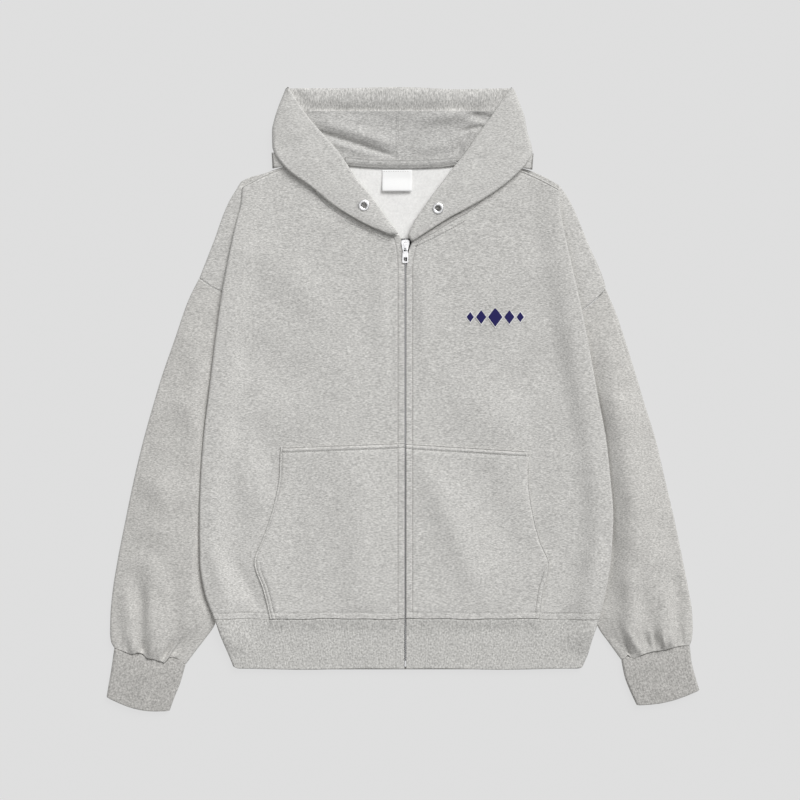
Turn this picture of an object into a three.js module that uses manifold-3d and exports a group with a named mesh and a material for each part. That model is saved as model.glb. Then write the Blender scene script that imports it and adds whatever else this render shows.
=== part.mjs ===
// A heavy fleece zip up hoodie lying flat on its back, zipped, its hood spread open above it.
// Millimetres. X runs across to the wearer's left, Y up the garment, Z up from the surface.
// Left and right are those of a person looking down at it. The origin is under its middle.
import * as THREE from "three";
import { mergeVertices } from "three/addons/utils/BufferGeometryUtils.js";
import Module from "manifold-3d";

const wasm = await Module();
wasm.setup();

// Cloth and gaps
const FLEECE = 2.5; // wall of the brushed fleece
const RIB = 2.5; // wall of the ribbed cuffs and hem
const POCKET_CLOTH = 2.2;
const SEAM = 0.3; // gap between two pieces that are sewn together
const ROLL = 3.1; // outer radius of a fold that wraps the cloth round itself
const UNDERARM_ROLL = 2.8; // outer radius of a sleeve along its underarm seam
const HOOD_ROLL = 2.9; // outer radius of the hood's front edge
const SLIT = 0.15; // half the gap along the underarm seam

// Levels above the surface
const FRONT_TOP = 7.6; // face of the fronts over most of the body
const SHOULDER_TOP = 5.8; // face of the fronts at the shoulder seam
const FOLD_UNDER = 7.8; // underside of the body's folded edges, over the sleeves
const STRIP_TOP = 6.9; // face of the shoulder outside those folded edges
const SLEEVE_HEAD_TOP = 6.7; // face of the sleeves where they start under those edges
const FOLD_FADE = 3.6; // how far the folded edges sink on their way to the shoulder seam
const LINING_TOP = 5.3; // face of the hood lining

// Places along the garment
const ZIP_X = 3; // the zip lies just right of the middle
const ZIP_GAP = 1.4; // from the zip's middle to each front's edge
const BODY_END_Y = -280.3; // lower edge of the fronts and the back
const HEM_SEAM_Y = BODY_END_Y - SEAM; // top of the ribbed hem
const HEM_Y = -344.5;
const ARMPIT_Y = -8;
const HOOD_TOP_Y = 399;

const COLOURS = {
  fleece: 0xc0bfbc,
  rib: 0xb6b5b1,
  lining: 0xbdbcb8,
  inside: 0xdedddb,
  label: 0xf2f2f1,
  tape: 0xb9b8b5,
  metal: 0xb8b9bb,
};

// A table of sizes: rows of numbers under named columns.
function table(names, rows) {
  const keys = names.split(" ");
  return rows.map((row) => Object.fromEntries(keys.map((key, i) => [key, row[i]])));
}

// Side edge of the body: the fold that lies over the sleeve. out is the distance from the middle.
const LEFT_EDGE = table("at out", [
  [-281.5, 240.5],
  [-268, 246],
  [-255, 251],
  [-243, 254.5],
  [-204, 260],
  [-150, 260.5],
  [-102, 259],
  [-51, 255.5],
  [4, 249],
  [82, 239.5],
  [138, 231.5],
  [198, 220],
  [230, 213],
  [252, 207.5],
  [274, 205.5],
]);
const RIGHT_EDGE = table("at out", [
  [-281.5, 251],
  [-268, 254.5],
  [-255, 257.5],
  [-243, 260],
  [-204, 266],
  [-148, 269],
  [-102, 265.5],
  [-51, 260],
  [5, 249.5],
  [82, 235.5],
  [138, 224],
  [177, 215],
  [211, 207.5],
  [243, 202],
  [274, 200],
]);

// Dropped shoulder: its outline from the armhole seam up to the shoulder's top.
const LEFT_SHOULDER = table("at out", [
  [157, 261],
  [179.5, 252],
  [205, 242],
  [243.5, 228],
  [262, 219],
  [280, 208],
]);
const RIGHT_SHOULDER = table("at out", [
  [143.5, 260],
  [154, 257.5],
  [205, 235.5],
  [230, 225.5],
  [256, 213.5],
  [276, 199.5],
]);

// Armhole seam of the back, lying flat from the armpit out to the shoulder's tip.
const LEFT_ARMHOLE = table("at out", [
  [-60, 250],
  [-35, 243],
  [-8, 242],
  [26, 239.6],
  [68, 236],
  [112, 233],
  [138.5, 230.8],
  [143, 239.2],
  [149, 246.8],
  [157, 261],
]);
const RIGHT_ARMHOLE = table("at out", [
  [-60, 252],
  [-35, 244],
  [-8, 243],
  [20, 240],
  [55, 236],
  [90, 232],
  [115.7, 228.6],
  [125.6, 239],
  [132.6, 251.4],
  [143.5, 260],
]);

// Top edge of the back: shoulder, back neck, shoulder.
const BACK_TOP = table("at y", [
  [-208, 280],
  [-196, 286],
  [-180.5, 290],
  [-156, 298.5],
  [-116.5, 308.5],
  [-80, 305.5],
  [-40, 302],
  [-6, 301],
  [40, 302],
  [70, 305],
  [103.5, 308.5],
  [140, 300.5],
  [164, 294],
  [185, 284.5],
  [199.5, 276],
]);

// Lines across each front, from the hem up: where one starts at the zip or the neckline, and the
// height at which it meets the side edge. bow lifts its middle.
const LEFT_LINES = table("at out y edgeY bow", [
  [0, -1.6, -280.3, -280.3, 0],
  [1, -1.6, -262, -262, 0],
  [2, -1.6, -240, -240, 0],
  [3, -1.6, -200, -200, 0],
  [4, -1.6, -150, -150, 0],
  [5, -1.6, -100, -100, 0],
  [6, -1.6, -60, -60, 0],
  [7, -1.6, -35, -35, 0],
  [8, -1.6, 20, 15, 0],
  [9, -1.6, 100, 85, 0],
  [10, -1.6, 170, 140, 0],
  [11, 5, 211.5, 180, 0],
  [12, 23, 213, 196, 0],
  [13, 52, 226.5, 210, 0],
  [14, 76, 240.5, 224, 0],
  [15, 96, 257, 240, 1],
  [16, 110, 282, 256, 3],
  [17, 116.5, 308, 273, 6],
]);
const RIGHT_LINES = table("at out y edgeY bow", [
  [0, 4.4, -280.3, -280.3, 0],
  [1, 4.4, -262, -262, 0],
  [2, 4.4, -240, -240, 0],
  [3, 4.4, -200, -200, 0],
  [4, 4.4, -150, -150, 0],
  [5, 4.4, -100, -100, 0],
  [6, 4.4, -60, -60, 0],
  [7, 4.4, -35, -35, 0],
  [8, 4.4, 20, 15, 0],
  [9, 4.4, 100, 85, 0],
  [10, 4.4, 165, 140, 0],
  [11, 11, 201.5, 178, 0],
  [12, 32, 215.5, 194, 0],
  [13, 58, 232, 209, 0],
  [14, 80, 245, 223, 0],
  [15, 95, 262, 239, 1],
  [16, 102, 286, 255, 3],
  [17, 103.5, 308, 270, 6],
]);

// Lines across the part of each front that lies outside its fold, from the armhole seam up.
const LEFT_STRIP = table("at inX inY outX outY bow", [
  [0, 221.5, 136.2, 261, 157.2, -2.5],
  [1, 215, 160, 252, 179.5, -1],
  [2, 209, 190, 242, 205, 0],
  [3, 203.5, 220, 229.5, 240, 0],
  [4, 199, 246, 219.5, 261, 0],
  [5, 197.5, 268, 209, 279, 0],
]);
const RIGHT_STRIP = table("at inX inY outX outY bow", [
  [0, 219, 110.7, 260, 144.2, -3],
  [1, 212.5, 142, 249.5, 172, -1],
  [2, 204.5, 175, 237, 201, 0],
  [3, 198.5, 208, 225.5, 230, 0],
  [4, 194, 240, 213, 257, 0],
  [5, 192, 265, 201, 275, 0],
]);

// Sections of each sleeve, from the armhole to the cuff: its outer edge, where its upper and its
// lower layer end on the inner side, how far those two have met in the underarm seam (closed, 0 to
// 1), the radius of its rolled edges, and how far its middle stands above them.
const LEFT_SLEEVE = table("at outX outY topX topY lowX lowY closed roll crown bow", [
  [0, 261.3, 156.4, 221.5, 135.4, 231.4, 137.8, 0, 2.8, 0.4, -2.5],
  [1, 275, 128.5, 224.5, 112, 233.6, 112, 0, 3.2, 1, -1],
  [2, 293, 77, 231.5, 68, 236.6, 68, 0, 3.5, 1.8, 0],
  [3, 309, 31, 237.5, 26, 240.2, 26, 0, 3.6, 2.4, 0],
  [4, 321, -9, 242.8, -9, 242.8, -9, 1, 3.6, 2.8, 0],
  [5, 333, -52, 245, -48, 245, -48, 1, 3.6, 3.1, 0],
  [6, 345, -102, 247.5, -102, 247.5, -102, 1, 3.6, 3.4, 0],
  [7, 356, -155, 249, -155, 249, -155, 1, 3.6, 3.4, 0],
  [8, 366, -206, 250.5, -206, 250.5, -206, 1, 3.6, 3.4, 0],
  [9, 372, -243, 247, -243, 247, -243, 1, 3.6, 3.5, 0],
  [10, 375, -275, 239.5, -268, 239.5, -268, 1, 3.7, 3.6, 0],
  [11, 375.5, -297, 240.8, -287, 240.8, -287, 1, 3.8, 3.6, 0],
  [12, 374, -311, 259.5, -315, 259.5, -315, 1, 3.9, 2.6, 2],
  [13, 370, -319.5, 278.5, -342.3, 278.5, -342.3, 1, 3.7, 0.6, 3],
]);
const RIGHT_SLEEVE = table("at outX outY topX topY lowX lowY closed roll crown bow", [
  [0, 260.3, 142.2, 219, 109.5, 229.2, 114.4, 0, 2.8, 0.4, -3.6],
  [1, 274, 109, 224.5, 88, 232.6, 90, 0, 3.2, 1, -1],
  [2, 287.5, 68, 230.5, 55, 236.6, 55, 0, 3.5, 1.8, 0],
  [3, 299, 31, 238, 20, 240.6, 20, 0, 3.6, 2.4, 0],
  [4, 311, -9, 243.8, -9, 243.8, -9, 1, 3.6, 2.8, 0],
  [5, 324, -51, 249.5, -50, 249.5, -50, 1, 3.6, 3.1, 0],
  [6, 336, -102, 254.5, -102, 254.5, -102, 1, 3.6, 3.4, 0],
  [7, 348, -153.5, 257.5, -153, 257.5, -153, 1, 3.6, 3.4, 0],
  [8, 358.5, -204.5, 257, -204, 257, -204, 1, 3.6, 3.4, 0],
  [9, 366, -243, 253.5, -243, 253.5, -243, 1, 3.6, 3.5, 0],
  [10, 370.5, -270, 248, -270, 248, -270, 1, 3.7, 3.6, 0],
  [11, 371.5, -290, 250.5, -291, 250.5, -291, 1, 3.8, 3.6, 0],
  [12, 370.5, -305, 263, -310, 263, -310, 1, 3.9, 2.6, 2],
  [13, 367.5, -315, 279.5, -333.2, 279.5, -333.2, 1, 3.7, 0.6, 2],
]);

// Sections of each cuff, from the sleeve down to its open end.
const LEFT_CUFF = table("at outX outY inX inY bow roll", [
  [0, 370.2, -320.1, 278.7, -342.9, 3, 3.7],
  [1, 373.5, -343, 284.5, -361, -1, 3.9],
  [2, 377, -363, 292.5, -380, -4, 3.9],
  [3, 380, -380.5, 299, -398, -7, 3.7],
]);
const RIGHT_CUFF = table("at outX outY inX inY bow roll", [
  [0, 367.7, -315.6, 279.7, -333.8, 2, 3.7],
  [1, 370, -336, 283.5, -353, -1, 3.9],
  [2, 375, -355, 291, -373, -3, 3.9],
  [3, 380, -371.5, 299.5, -391, -5, 3.7],
]);

// Side edge of the ribbed hem.
const LEFT_HEM = table("at out", [
  [-344.5, 217.5],
  [-319.5, 226.5],
  [-300.5, 234],
  [-281.1, 240.5],
]);
const RIGHT_HEM = table("at out", [
  [-343, 230.5],
  [-326, 237],
  [-307, 242],
  [-281.1, 251],
]);

// Sections of each half of the hood, from the front of the neck up to its top corner: front is the
// edge of the face opening, side the fold at its outline or over the body, end where the turned
// layer stops (at the neck seam, then at the centre back). frontTop and sideTop are the levels of
// its face there, under is the level of the turned layer.
const LEFT_HOOD = table("at frontX frontY sideX sideY endX endY frontTop sideTop under", [
  [0, 6, 213.5, 15, 211, 12, 212.5, 13.7, 13.7, 7.9],
  [1, 19, 230.5, 48, 225, 43, 227, 13.7, 13.7, 7.9],
  [2, 30, 246, 74, 239.5, 66, 242.5, 13.7, 13.7, 7.9],
  [3, 45, 266, 93.5, 252.5, 83, 256, 13.7, 13.7, 7.9],
  [4, 59, 282, 119, 274, 98, 277, 13.6, 13.7, 7.9],
  [5, 72, 303, 144.5, 292, 108, 295, 13.4, 13.5, 7.7],
  [6, 84.5, 320.5, 157.5, 306, 112, 311.5, 13.2, 13, 7.2],
  [7, 100, 338, 167.5, 325, 96, 314, 12.9, 11.6, 0],
  [8, 118, 358.5, 167.8, 345, 50, 309.5, 12.6, 11.4, 0],
  [9, 126, 369, 165, 359, 6.4, 309, 12.4, 11.4, 0],
  [10, 134, 381, 160, 375, 6.4, 350, 12.2, 11.3, 0],
  [11, 144, 398.5, 153.5, 396, 6.4, 399, 12, 11.2, 0],
]);
const RIGHT_HOOD = table("at frontX frontY sideX sideY endX endY frontTop sideTop under", [
  [0, 6, 210, 11, 202.5, 9.5, 205, 13.7, 13.7, 7.9],
  [1, 15.5, 230.5, 36, 218.5, 32, 221, 13.7, 13.7, 7.9],
  [2, 26, 246, 60, 233.5, 54, 236.5, 13.7, 13.7, 7.9],
  [3, 40, 266, 86, 247.5, 77, 251.5, 13.7, 13.7, 7.9],
  [4, 52.5, 282, 111.5, 262.5, 91, 269, 13.6, 13.7, 7.9],
  [5, 66, 300, 137, 281.5, 99, 290, 13.4, 13.5, 7.7],
  [6, 79.5, 316.5, 158, 303, 100, 311.5, 13.2, 13, 7.2],
  [7, 94, 338, 166, 319, 89, 314, 12.9, 11.6, 0],
  [8, 111.5, 361.5, 159, 345, 38, 309.5, 12.6, 11.4, 0],
  [9, 118, 371, 156, 362.5, -6, 309, 12.4, 11.4, 0],
  [10, 126, 383, 150, 379, -6, 350, 12.2, 11.3, 0],
  [11, 134, 398, 143, 396, -6, 399, 12, 11.2, 0],
]);

// Outline of each pocket, from the hem up: its outer edge and how far it opens for the hand.
const LEFT_POCKET = table("at out", [
  [-279.8, 170],
  [-243, 179],
  [-207, 190.5],
  [-180, 181],
  [-159.5, 173],
  [-127.5, 164],
  [-95, 158.5],
  [-57, 157],
]);
const RIGHT_POCKET = table("at out", [
  [-279.8, 175.5],
  [-243, 180.5],
  [-212, 188],
  [-180, 176],
  [-153.5, 169],
  [-127.5, 164.5],
  [-95, 161.5],
  [-60, 161.5],
]);

const LEFT = {
  hand: -1,
  zipEdge: -ZIP_X + ZIP_GAP,
  edge: LEFT_EDGE,
  shoulder: LEFT_SHOULDER,
  armhole: LEFT_ARMHOLE,
  lines: LEFT_LINES,
  strip: LEFT_STRIP,
  sleeve: LEFT_SLEEVE,
  cuff: LEFT_CUFF,
  hem: LEFT_HEM,
  hood: LEFT_HOOD,
  pocket: LEFT_POCKET,
  pocketTop: { inner: -54, outer: -57.5 },
  eyelet: { at: 2.3, along: 16 },
  liningEdge: 6.4,
  creases: [
    { x0: 108, y0: 346, x1: 20, y1: 322, width: 9, height: 1.6 },
    { x0: 96, y0: 369, x1: 52, y1: 340, width: 8, height: 0.9 },
  ],
};
const RIGHT = {
  hand: 1,
  zipEdge: ZIP_X + ZIP_GAP,
  edge: RIGHT_EDGE,
  shoulder: RIGHT_SHOULDER,
  armhole: RIGHT_ARMHOLE,
  lines: RIGHT_LINES,
  strip: RIGHT_STRIP,
  sleeve: RIGHT_SLEEVE,
  cuff: RIGHT_CUFF,
  hem: RIGHT_HEM,
  hood: RIGHT_HOOD,
  pocket: RIGHT_POCKET,
  pocketTop: { inner: -54, outer: -62.5 },
  eyelet: { at: 2.25, along: 16.5 },
  liningEdge: -6,
  creases: [
    { x0: 100, y0: 345, x1: 70, y1: 326, width: 9, height: 1.6 },
    { x0: 96, y0: 352, x1: 30, y1: 352, width: 10, height: 0.9 },
  ],
};

// Fraction from 0 to 1 along a smooth step between two values.
function ease(value, from, to) {
  const f = Math.min(1, Math.max(0, (value - from) / (to - from)));
  return f * f * (3 - 2 * f);
}

function mix(a, b, f) {
  return a + (b - a) * f;
}

// One column of a table at any place between its rows, on a smooth curve that never overshoots.
function read(table, key, at) {
  const last = table.length - 1;
  const slope = (i) => (table[i + 1][key] - table[i][key]) / (table[i + 1].at - table[i].at);
  const tangent = (i) => {
    if (i === 0) return slope(0);
    if (i === last) return slope(last - 1);
    const before = slope(i - 1);
    const after = slope(i);
    return before * after <= 0 ? 0 : (2 * before * after) / (before + after);
  };
  if (at <= table[0].at) return table[0][key];
  if (at >= table[last].at) return table[last][key];
  let i = 0;
  while (table[i + 1].at < at) i += 1;
  const span = table[i + 1].at - table[i].at;
  const f = (at - table[i].at) / span;
  const g = 1 - f;
  return (
    table[i][key] * (1 + 2 * f) * g * g +
    table[i + 1][key] * (1 + 2 * g) * f * f +
    span * f * g * (g * tangent(i) - f * tangent(i + 1))
  );
}

// Direction of a line of points at index i, that of a parabola through the points at its ends.
function step(line, i, ring) {
  const n = line.length;
  if (ring) return line[(i + 1) % n].clone().sub(line[(i + n - 1) % n]);
  if (i > 0 && i < n - 1) return line[i + 1].clone().sub(line[i - 1]);
  const [a, b, c] = i === 0 ? [0, 1, 2] : [n - 1, n - 2, n - 3];
  const near = line[b].distanceTo(line[a]);
  const far = line[c].distanceTo(line[b]);
  const first = line[b].clone().sub(line[a]).divideScalar(near);
  const second = line[c].clone().sub(line[b]).divideScalar(far);
  const end = first.clone().addScaledVector(first.sub(second), near / (near + far));
  return i === 0 ? end : end.negate();
}

// A closed wall of cloth from the points of its face: rows of points, all of one length. The face
// looks along row direction x column direction times side, and the wall lies behind it. With ring
// the rows close on themselves.
function wall(rows, thickness, side, ring = false) {
  const n = rows.length;
  const m = rows[0].length;
  const back = rows.map((row, i) =>
    row.map((p, j) => {
      const column = rows.map((r) => r[j]);
      const normal = step(column, i, false).cross(step(row, j, ring)).normalize();
      return p.clone().addScaledVector(normal, -thickness * side);
    }),
  );
  const positions = [];
  for (const grid of [rows, back]) {
    for (const row of grid) {
      for (const p of row) positions.push(p.x, p.y, p.z);
    }
  }
  const index = [];
  const face = (i, j) => i * m + (j % m);
  const behind = (i, j) => n * m + face(i, j);
  const quad = (a, b, c, d) => {
    if (side > 0) index.push(a, b, c, a, c, d);
    else index.push(a, c, b, a, d, c);
  };
  const columns = ring ? m : m - 1;
  for (let i = 0; i < n - 1; i += 1) {
    for (let j = 0; j < columns; j += 1) {
      quad(face(i, j), face(i + 1, j), face(i + 1, j + 1), face(i, j + 1));
      quad(behind(i, j), behind(i, j + 1), behind(i + 1, j + 1), behind(i + 1, j));
    }
  }
  for (let j = 0; j < columns; j += 1) {
    quad(face(0, j), face(0, j + 1), behind(0, j + 1), behind(0, j));
    quad(face(n - 1, j + 1), face(n - 1, j), behind(n - 1, j), behind(n - 1, j + 1));
  }
  for (let i = 0; i < n - 1 && !ring; i += 1) {
    quad(face(i + 1, 0), face(i, 0), behind(i, 0), behind(i + 1, 0));
    quad(face(i, m - 1), face(i + 1, m - 1), behind(i + 1, m - 1), behind(i, m - 1));
  }
  const geometry = new THREE.BufferGeometry();
  geometry.setAttribute("position", new THREE.Float32BufferAttribute(positions, 3));
  geometry.setIndex(index);
  return geometry;
}

// A wall worked out in outward distances, turned to its own side of the garment.
function handedWall(part, rows, thickness, side, ring = false) {
  const placed = rows.map((row) => row.map((p) => new THREE.Vector3(p.x * part.hand, p.y, p.z)));
  return wall(placed, thickness, side * part.hand, ring);
}

function solidFrom(geometry) {
  const plain = geometry.clone();
  plain.deleteAttribute("normal");
  plain.deleteAttribute("uv");
  const merged = mergeVertices(plain, 1e-4);
  return new wasm.Manifold(
    new wasm.Mesh({
      numProp: 3,
      vertProperties: new Float32Array(merged.attributes.position.array),
      triVerts: new Uint32Array(merged.index.array),
    }),
  );
}

function geometryFrom(solid) {
  const mesh = solid.getMesh();
  const geometry = new THREE.BufferGeometry();
  geometry.setAttribute("position", new THREE.BufferAttribute(mesh.vertProperties, 3));
  geometry.setIndex(new THREE.BufferAttribute(mesh.triVerts, 1));
  return geometry;
}

const hoodie = new THREE.Group();

function addPiece(name, geometry, colour, metal = false) {
  geometry.computeVertexNormals();
  const material = new THREE.MeshStandardMaterial({
    color: COLOURS[colour],
    roughness: metal ? 0.3 : 0.95,
    metalness: metal ? 1 : 0,
    flatShading: metal,
  });
  const mesh = new THREE.Mesh(geometry, material);
  mesh.name = name;
  hoodie.add(mesh);
  return mesh;
}

// How far the body's side edge is lifted by the sleeve under it: nothing at the armpit, full
// along the side, and nothing again on the ribbed hem.
function edgeLift(y) {
  return FOLD_UNDER * ease(y, ARMPIT_Y, -35) * ease(y, -338, -296);
}

// How far out the side seam lies, where the front's turned layer meets the back, and above the
// armpit the back's armhole seam.
function sideSeam(part, y) {
  if (y <= -60) return read(part.edge, "out", y) - 5.2;
  return read(part.armhole, "out", y);
}

// How far in from a side edge the front is raised by the fold there.
const FOLD_REACH = 45;

// Height of a front's face, at a distance in from its side edge.
function frontTop(y, inward, row) {
  const under = y > -35 ? FOLD_UNDER : edgeLift(y);
  const foldTop = Math.max(FRONT_TOP, under + 2 * ROLL) - FOLD_FADE * ease(y, 185, 268);
  const flat = mix(FRONT_TOP, SHOULDER_TOP, ease(row, 14.5, 17));
  return mix(foldTop, flat, ease(inward, 4, FOLD_REACH));
}

// Distances in from the side edge at which a front's lines have points, and shares of the rest.
const FOLD_STEPS = [ROLL, 9, 16, 23, 31, FOLD_REACH];
const PANEL_SHARES = [0.2, 0.4, 0.6, 0.8, 0.93, 1];
const TURNED_AT_SHOULDER = 10; // width of the turned layer above the armpit

// A front: its upper layer, the rolled fold at its side edge and the layer turned under it.
function frontFace(part) {
  const rows = [];
  for (const line of part.lines) {
    const inner = new THREE.Vector2(line.out, line.y);
    const edge = new THREE.Vector2(read(part.edge, "out", line.edgeY), line.edgeY);
    const across = edge.clone().sub(inner);
    const width = across.length();
    across.normalize();
    const point = (inward, z) => {
      const f = 1 - inward / width;
      const p = inner.clone().addScaledVector(across, width - inward);
      return new THREE.Vector3(p.x, p.y + line.bow * Math.sin(Math.PI * f), z);
    };
    const row = [];
    const rest = width - FOLD_REACH;
    for (const share of [...PANEL_SHARES].reverse()) {
      const inward = FOLD_REACH + rest * share;
      row.push(point(inward, frontTop(line.edgeY, inward, line.at)));
    }
    for (const inward of [...FOLD_STEPS].reverse()) {
      row.push(point(inward, frontTop(line.edgeY, inward, line.at)));
    }
    const middle = row[row.length - 1].z - ROLL;
    for (const degrees of [60, 30, 0, -30, -60, -90]) {
      const turn = (degrees * Math.PI) / 180;
      row.push(point(ROLL - ROLL * Math.cos(turn), middle + ROLL * Math.sin(turn)));
    }
    const seamAt = edge.x - sideSeam(part, line.edgeY) - SEAM - 0.1;
    const turned = line.edgeY > -30 ? TURNED_AT_SHOULDER : seamAt;
    row.push(point(turned, middle - ROLL));
    rows.push(row);
  }
  return rows;
}

// The part of a front that lies outside its fold, out to the dropped shoulder's outline.
function stripFace(part) {
  const foldAt = [0, 0.2, 0.45, 0.75, 1];
  const rows = [];
  for (const line of part.strip) {
    const row = [];
    for (const f of foldAt) {
      const z = f === 0 ? STRIP_TOP + 2.2 : mix(STRIP_TOP, 2 * FLEECE + SEAM, ease(f, 0.45, 1));
      row.push(
        new THREE.Vector3(
          mix(line.inX, line.outX, f),
          mix(line.inY, line.outY, f) + line.bow * Math.sin(Math.PI * f),
          z,
        ),
      );
    }
    rows.push(row);
  }
  return rows;
}

function addFront(name, part) {
  const main = solidFrom(handedWall(part, frontFace(part), FLEECE, -1));
  const strip = solidFrom(handedWall(part, stripFace(part), FLEECE, -1));
  addPiece(name, geometryFrom(main.add(strip)), "fleece");
}

// The back: flat on the surface, its side edges lifted over the sleeves.
function addBack() {
  const heights = [BODY_END_Y, -262, -240, -200, -150, -100, -60, -35, -8, 26, 68, 100, 115.7];
  const upper = [125.6, 132.6, 138.5, 143.2, 149, 157, 180, 205, 243, 262];
  const edgeOut = (part, y) => {
    const seamTop = part.armhole[part.armhole.length - 1].at;
    return y <= seamTop ? sideSeam(part, y) : read(part.shoulder, "out", y);
  };
  const steps = [0, 6, 11, 16, 21, 26, 60, 130];
  const rows = [...heights, ...upper].map((y) => {
    const left = edgeOut(LEFT, y);
    const right = edgeOut(RIGHT, y);
    const point = (part, out) => {
      const inward = read(part.edge, "out", y) - out;
      return new THREE.Vector3(out * part.hand, y, edgeLift(y) * (1 - ease(inward, 11, 31)));
    };
    return [
      ...steps.map((inward) => point(LEFT, left - inward)),
      new THREE.Vector3((right - left) / 2, y, 0),
      ...[...steps].reverse().map((inward) => point(RIGHT, right - inward)),
    ];
  });
  const leftTops = [-208, -196, -180.5, -156, -136, -116.5, -80, -40];
  const rightTops = [40, 70, 103.5, 122, 140, 164, 185, 199.5];
  const tops = [...leftTops, -6, ...rightTops];
  rows.push(tops.map((x) => new THREE.Vector3(x, read(BACK_TOP, "y", x), 0)));
  addPiece("back", wall(rows, FLEECE, 1), "inside");
}

// Pleats of the sleeve's face where it is gathered into the cuff.
function gathers(at, along) {
  const strength = ease(at, 10.4, 12.6) * 1.1;
  return strength * Math.sin(along * Math.PI * 9) * Math.sin(along * Math.PI);
}

function addSleeve(name, part) {
  const stations = [0, 0.5, 1, 2, 3, 3.6, 4, 4.6, 6, 7.5, 9, 10, 10.8, 11.5, 12.2, 13];
  const topSteps = 12;
  const lowSteps = 4;
  const rows = stations.map((at) => {
    const value = (key) => read(part.sleeve, key, at);
    const outer = new THREE.Vector2(value("outX"), value("outY"));
    const topEnd = new THREE.Vector2(value("topX"), value("topY"));
    const lowEnd = new THREE.Vector2(value("lowX"), value("lowY"));
    const closed = value("closed");
    const roll = value("roll");
    const near = mix(roll, UNDERARM_ROLL, closed);
    const place = (end, inward, z) => {
      const width = outer.distanceTo(end);
      const f = inward / width;
      const p = end.clone().lerp(outer, f);
      return new THREE.Vector3(p.x, p.y + value("bow") * Math.sin(Math.PI * Math.min(1, f)), z);
    };
    const row = [];
    for (const degrees of [180, 150, 120]) {
      const turn = (degrees * Math.PI) / 180;
      const arc = near + near * Math.sin(turn) + (degrees === 180 ? SLIT : 0);
      row.push(place(topEnd, near + near * Math.cos(turn), mix(SLEEVE_HEAD_TOP, arc, closed)));
    }
    const topWidth = outer.distanceTo(topEnd);
    const innerLevel = mix(SLEEVE_HEAD_TOP, 2 * near, closed);
    for (let i = 0; i <= topSteps; i += 1) {
      const f = i / topSteps;
      const level = mix(innerLevel, 2 * roll, ease(f, 0, 0.4));
      const rise = value("crown") * Math.sin(Math.PI * f) ** 1.3;
      row.push(place(topEnd, mix(near, topWidth - roll, f), level + rise + gathers(at, f)));
    }
    for (const degrees of [60, 30, 0, -30, -60, -90]) {
      const turn = (degrees * Math.PI) / 180;
      const end = degrees >= 0 ? topEnd : lowEnd;
      const width = outer.distanceTo(end);
      row.push(place(end, width - roll + roll * Math.cos(turn), roll + roll * Math.sin(turn)));
    }
    const lowWidth = outer.distanceTo(lowEnd);
    for (let i = 1; i <= lowSteps; i += 1) {
      row.push(place(lowEnd, mix(lowWidth - roll, near, i / lowSteps), 0));
    }
    for (const degrees of [240, 210, 180]) {
      const turn = (degrees * Math.PI) / 180;
      const arc = near + near * Math.sin(turn) - (degrees === 180 ? SLIT : 0);
      row.push(place(lowEnd, near + near * Math.cos(turn), arc * closed));
    }
    return row;
  });
  addPiece(name, handedWall(part, rows, FLEECE, 1), "fleece");
}

function addCuff(name, part) {
  const rows = [0, 0.5, 1, 2, 3].map((at) => {
    const value = (key) => read(part.cuff, key, at);
    const outer = new THREE.Vector2(value("outX"), value("outY"));
    const inner = new THREE.Vector2(value("inX"), value("inY"));
    const roll = value("roll");
    const width = outer.distanceTo(inner);
    const place = (inward, z) => {
      const f = inward / width;
      const p = inner.clone().lerp(outer, f);
      return new THREE.Vector3(p.x, p.y + value("bow") * Math.sin(Math.PI * f), z);
    };
    const row = [];
    for (const degrees of [180, 150, 120, 90]) {
      const turn = (degrees * Math.PI) / 180;
      row.push(place(roll + roll * Math.cos(turn), roll + roll * Math.sin(turn)));
    }
    for (const f of [0.2, 0.4, 0.6, 0.8]) {
      row.push(place(mix(roll, width - roll, f), 2 * roll + 0.4 * Math.sin(Math.PI * f)));
    }
    for (const degrees of [90, 60, 30, 0, -30, -60, -90]) {
      const turn = (degrees * Math.PI) / 180;
      row.push(place(width - roll + roll * Math.cos(turn), roll + roll * Math.sin(turn)));
    }
    for (const f of [0.75, 0.5, 0.25]) row.push(place(mix(roll, width - roll, f), 0));
    for (const degrees of [270, 240, 210]) {
      const turn = (degrees * Math.PI) / 180;
      row.push(place(roll + roll * Math.cos(turn), roll + roll * Math.sin(turn)));
    }
    return row;
  });
  addPiece(name, handedWall(part, rows, RIB, 1, true), "rib");
}

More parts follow.
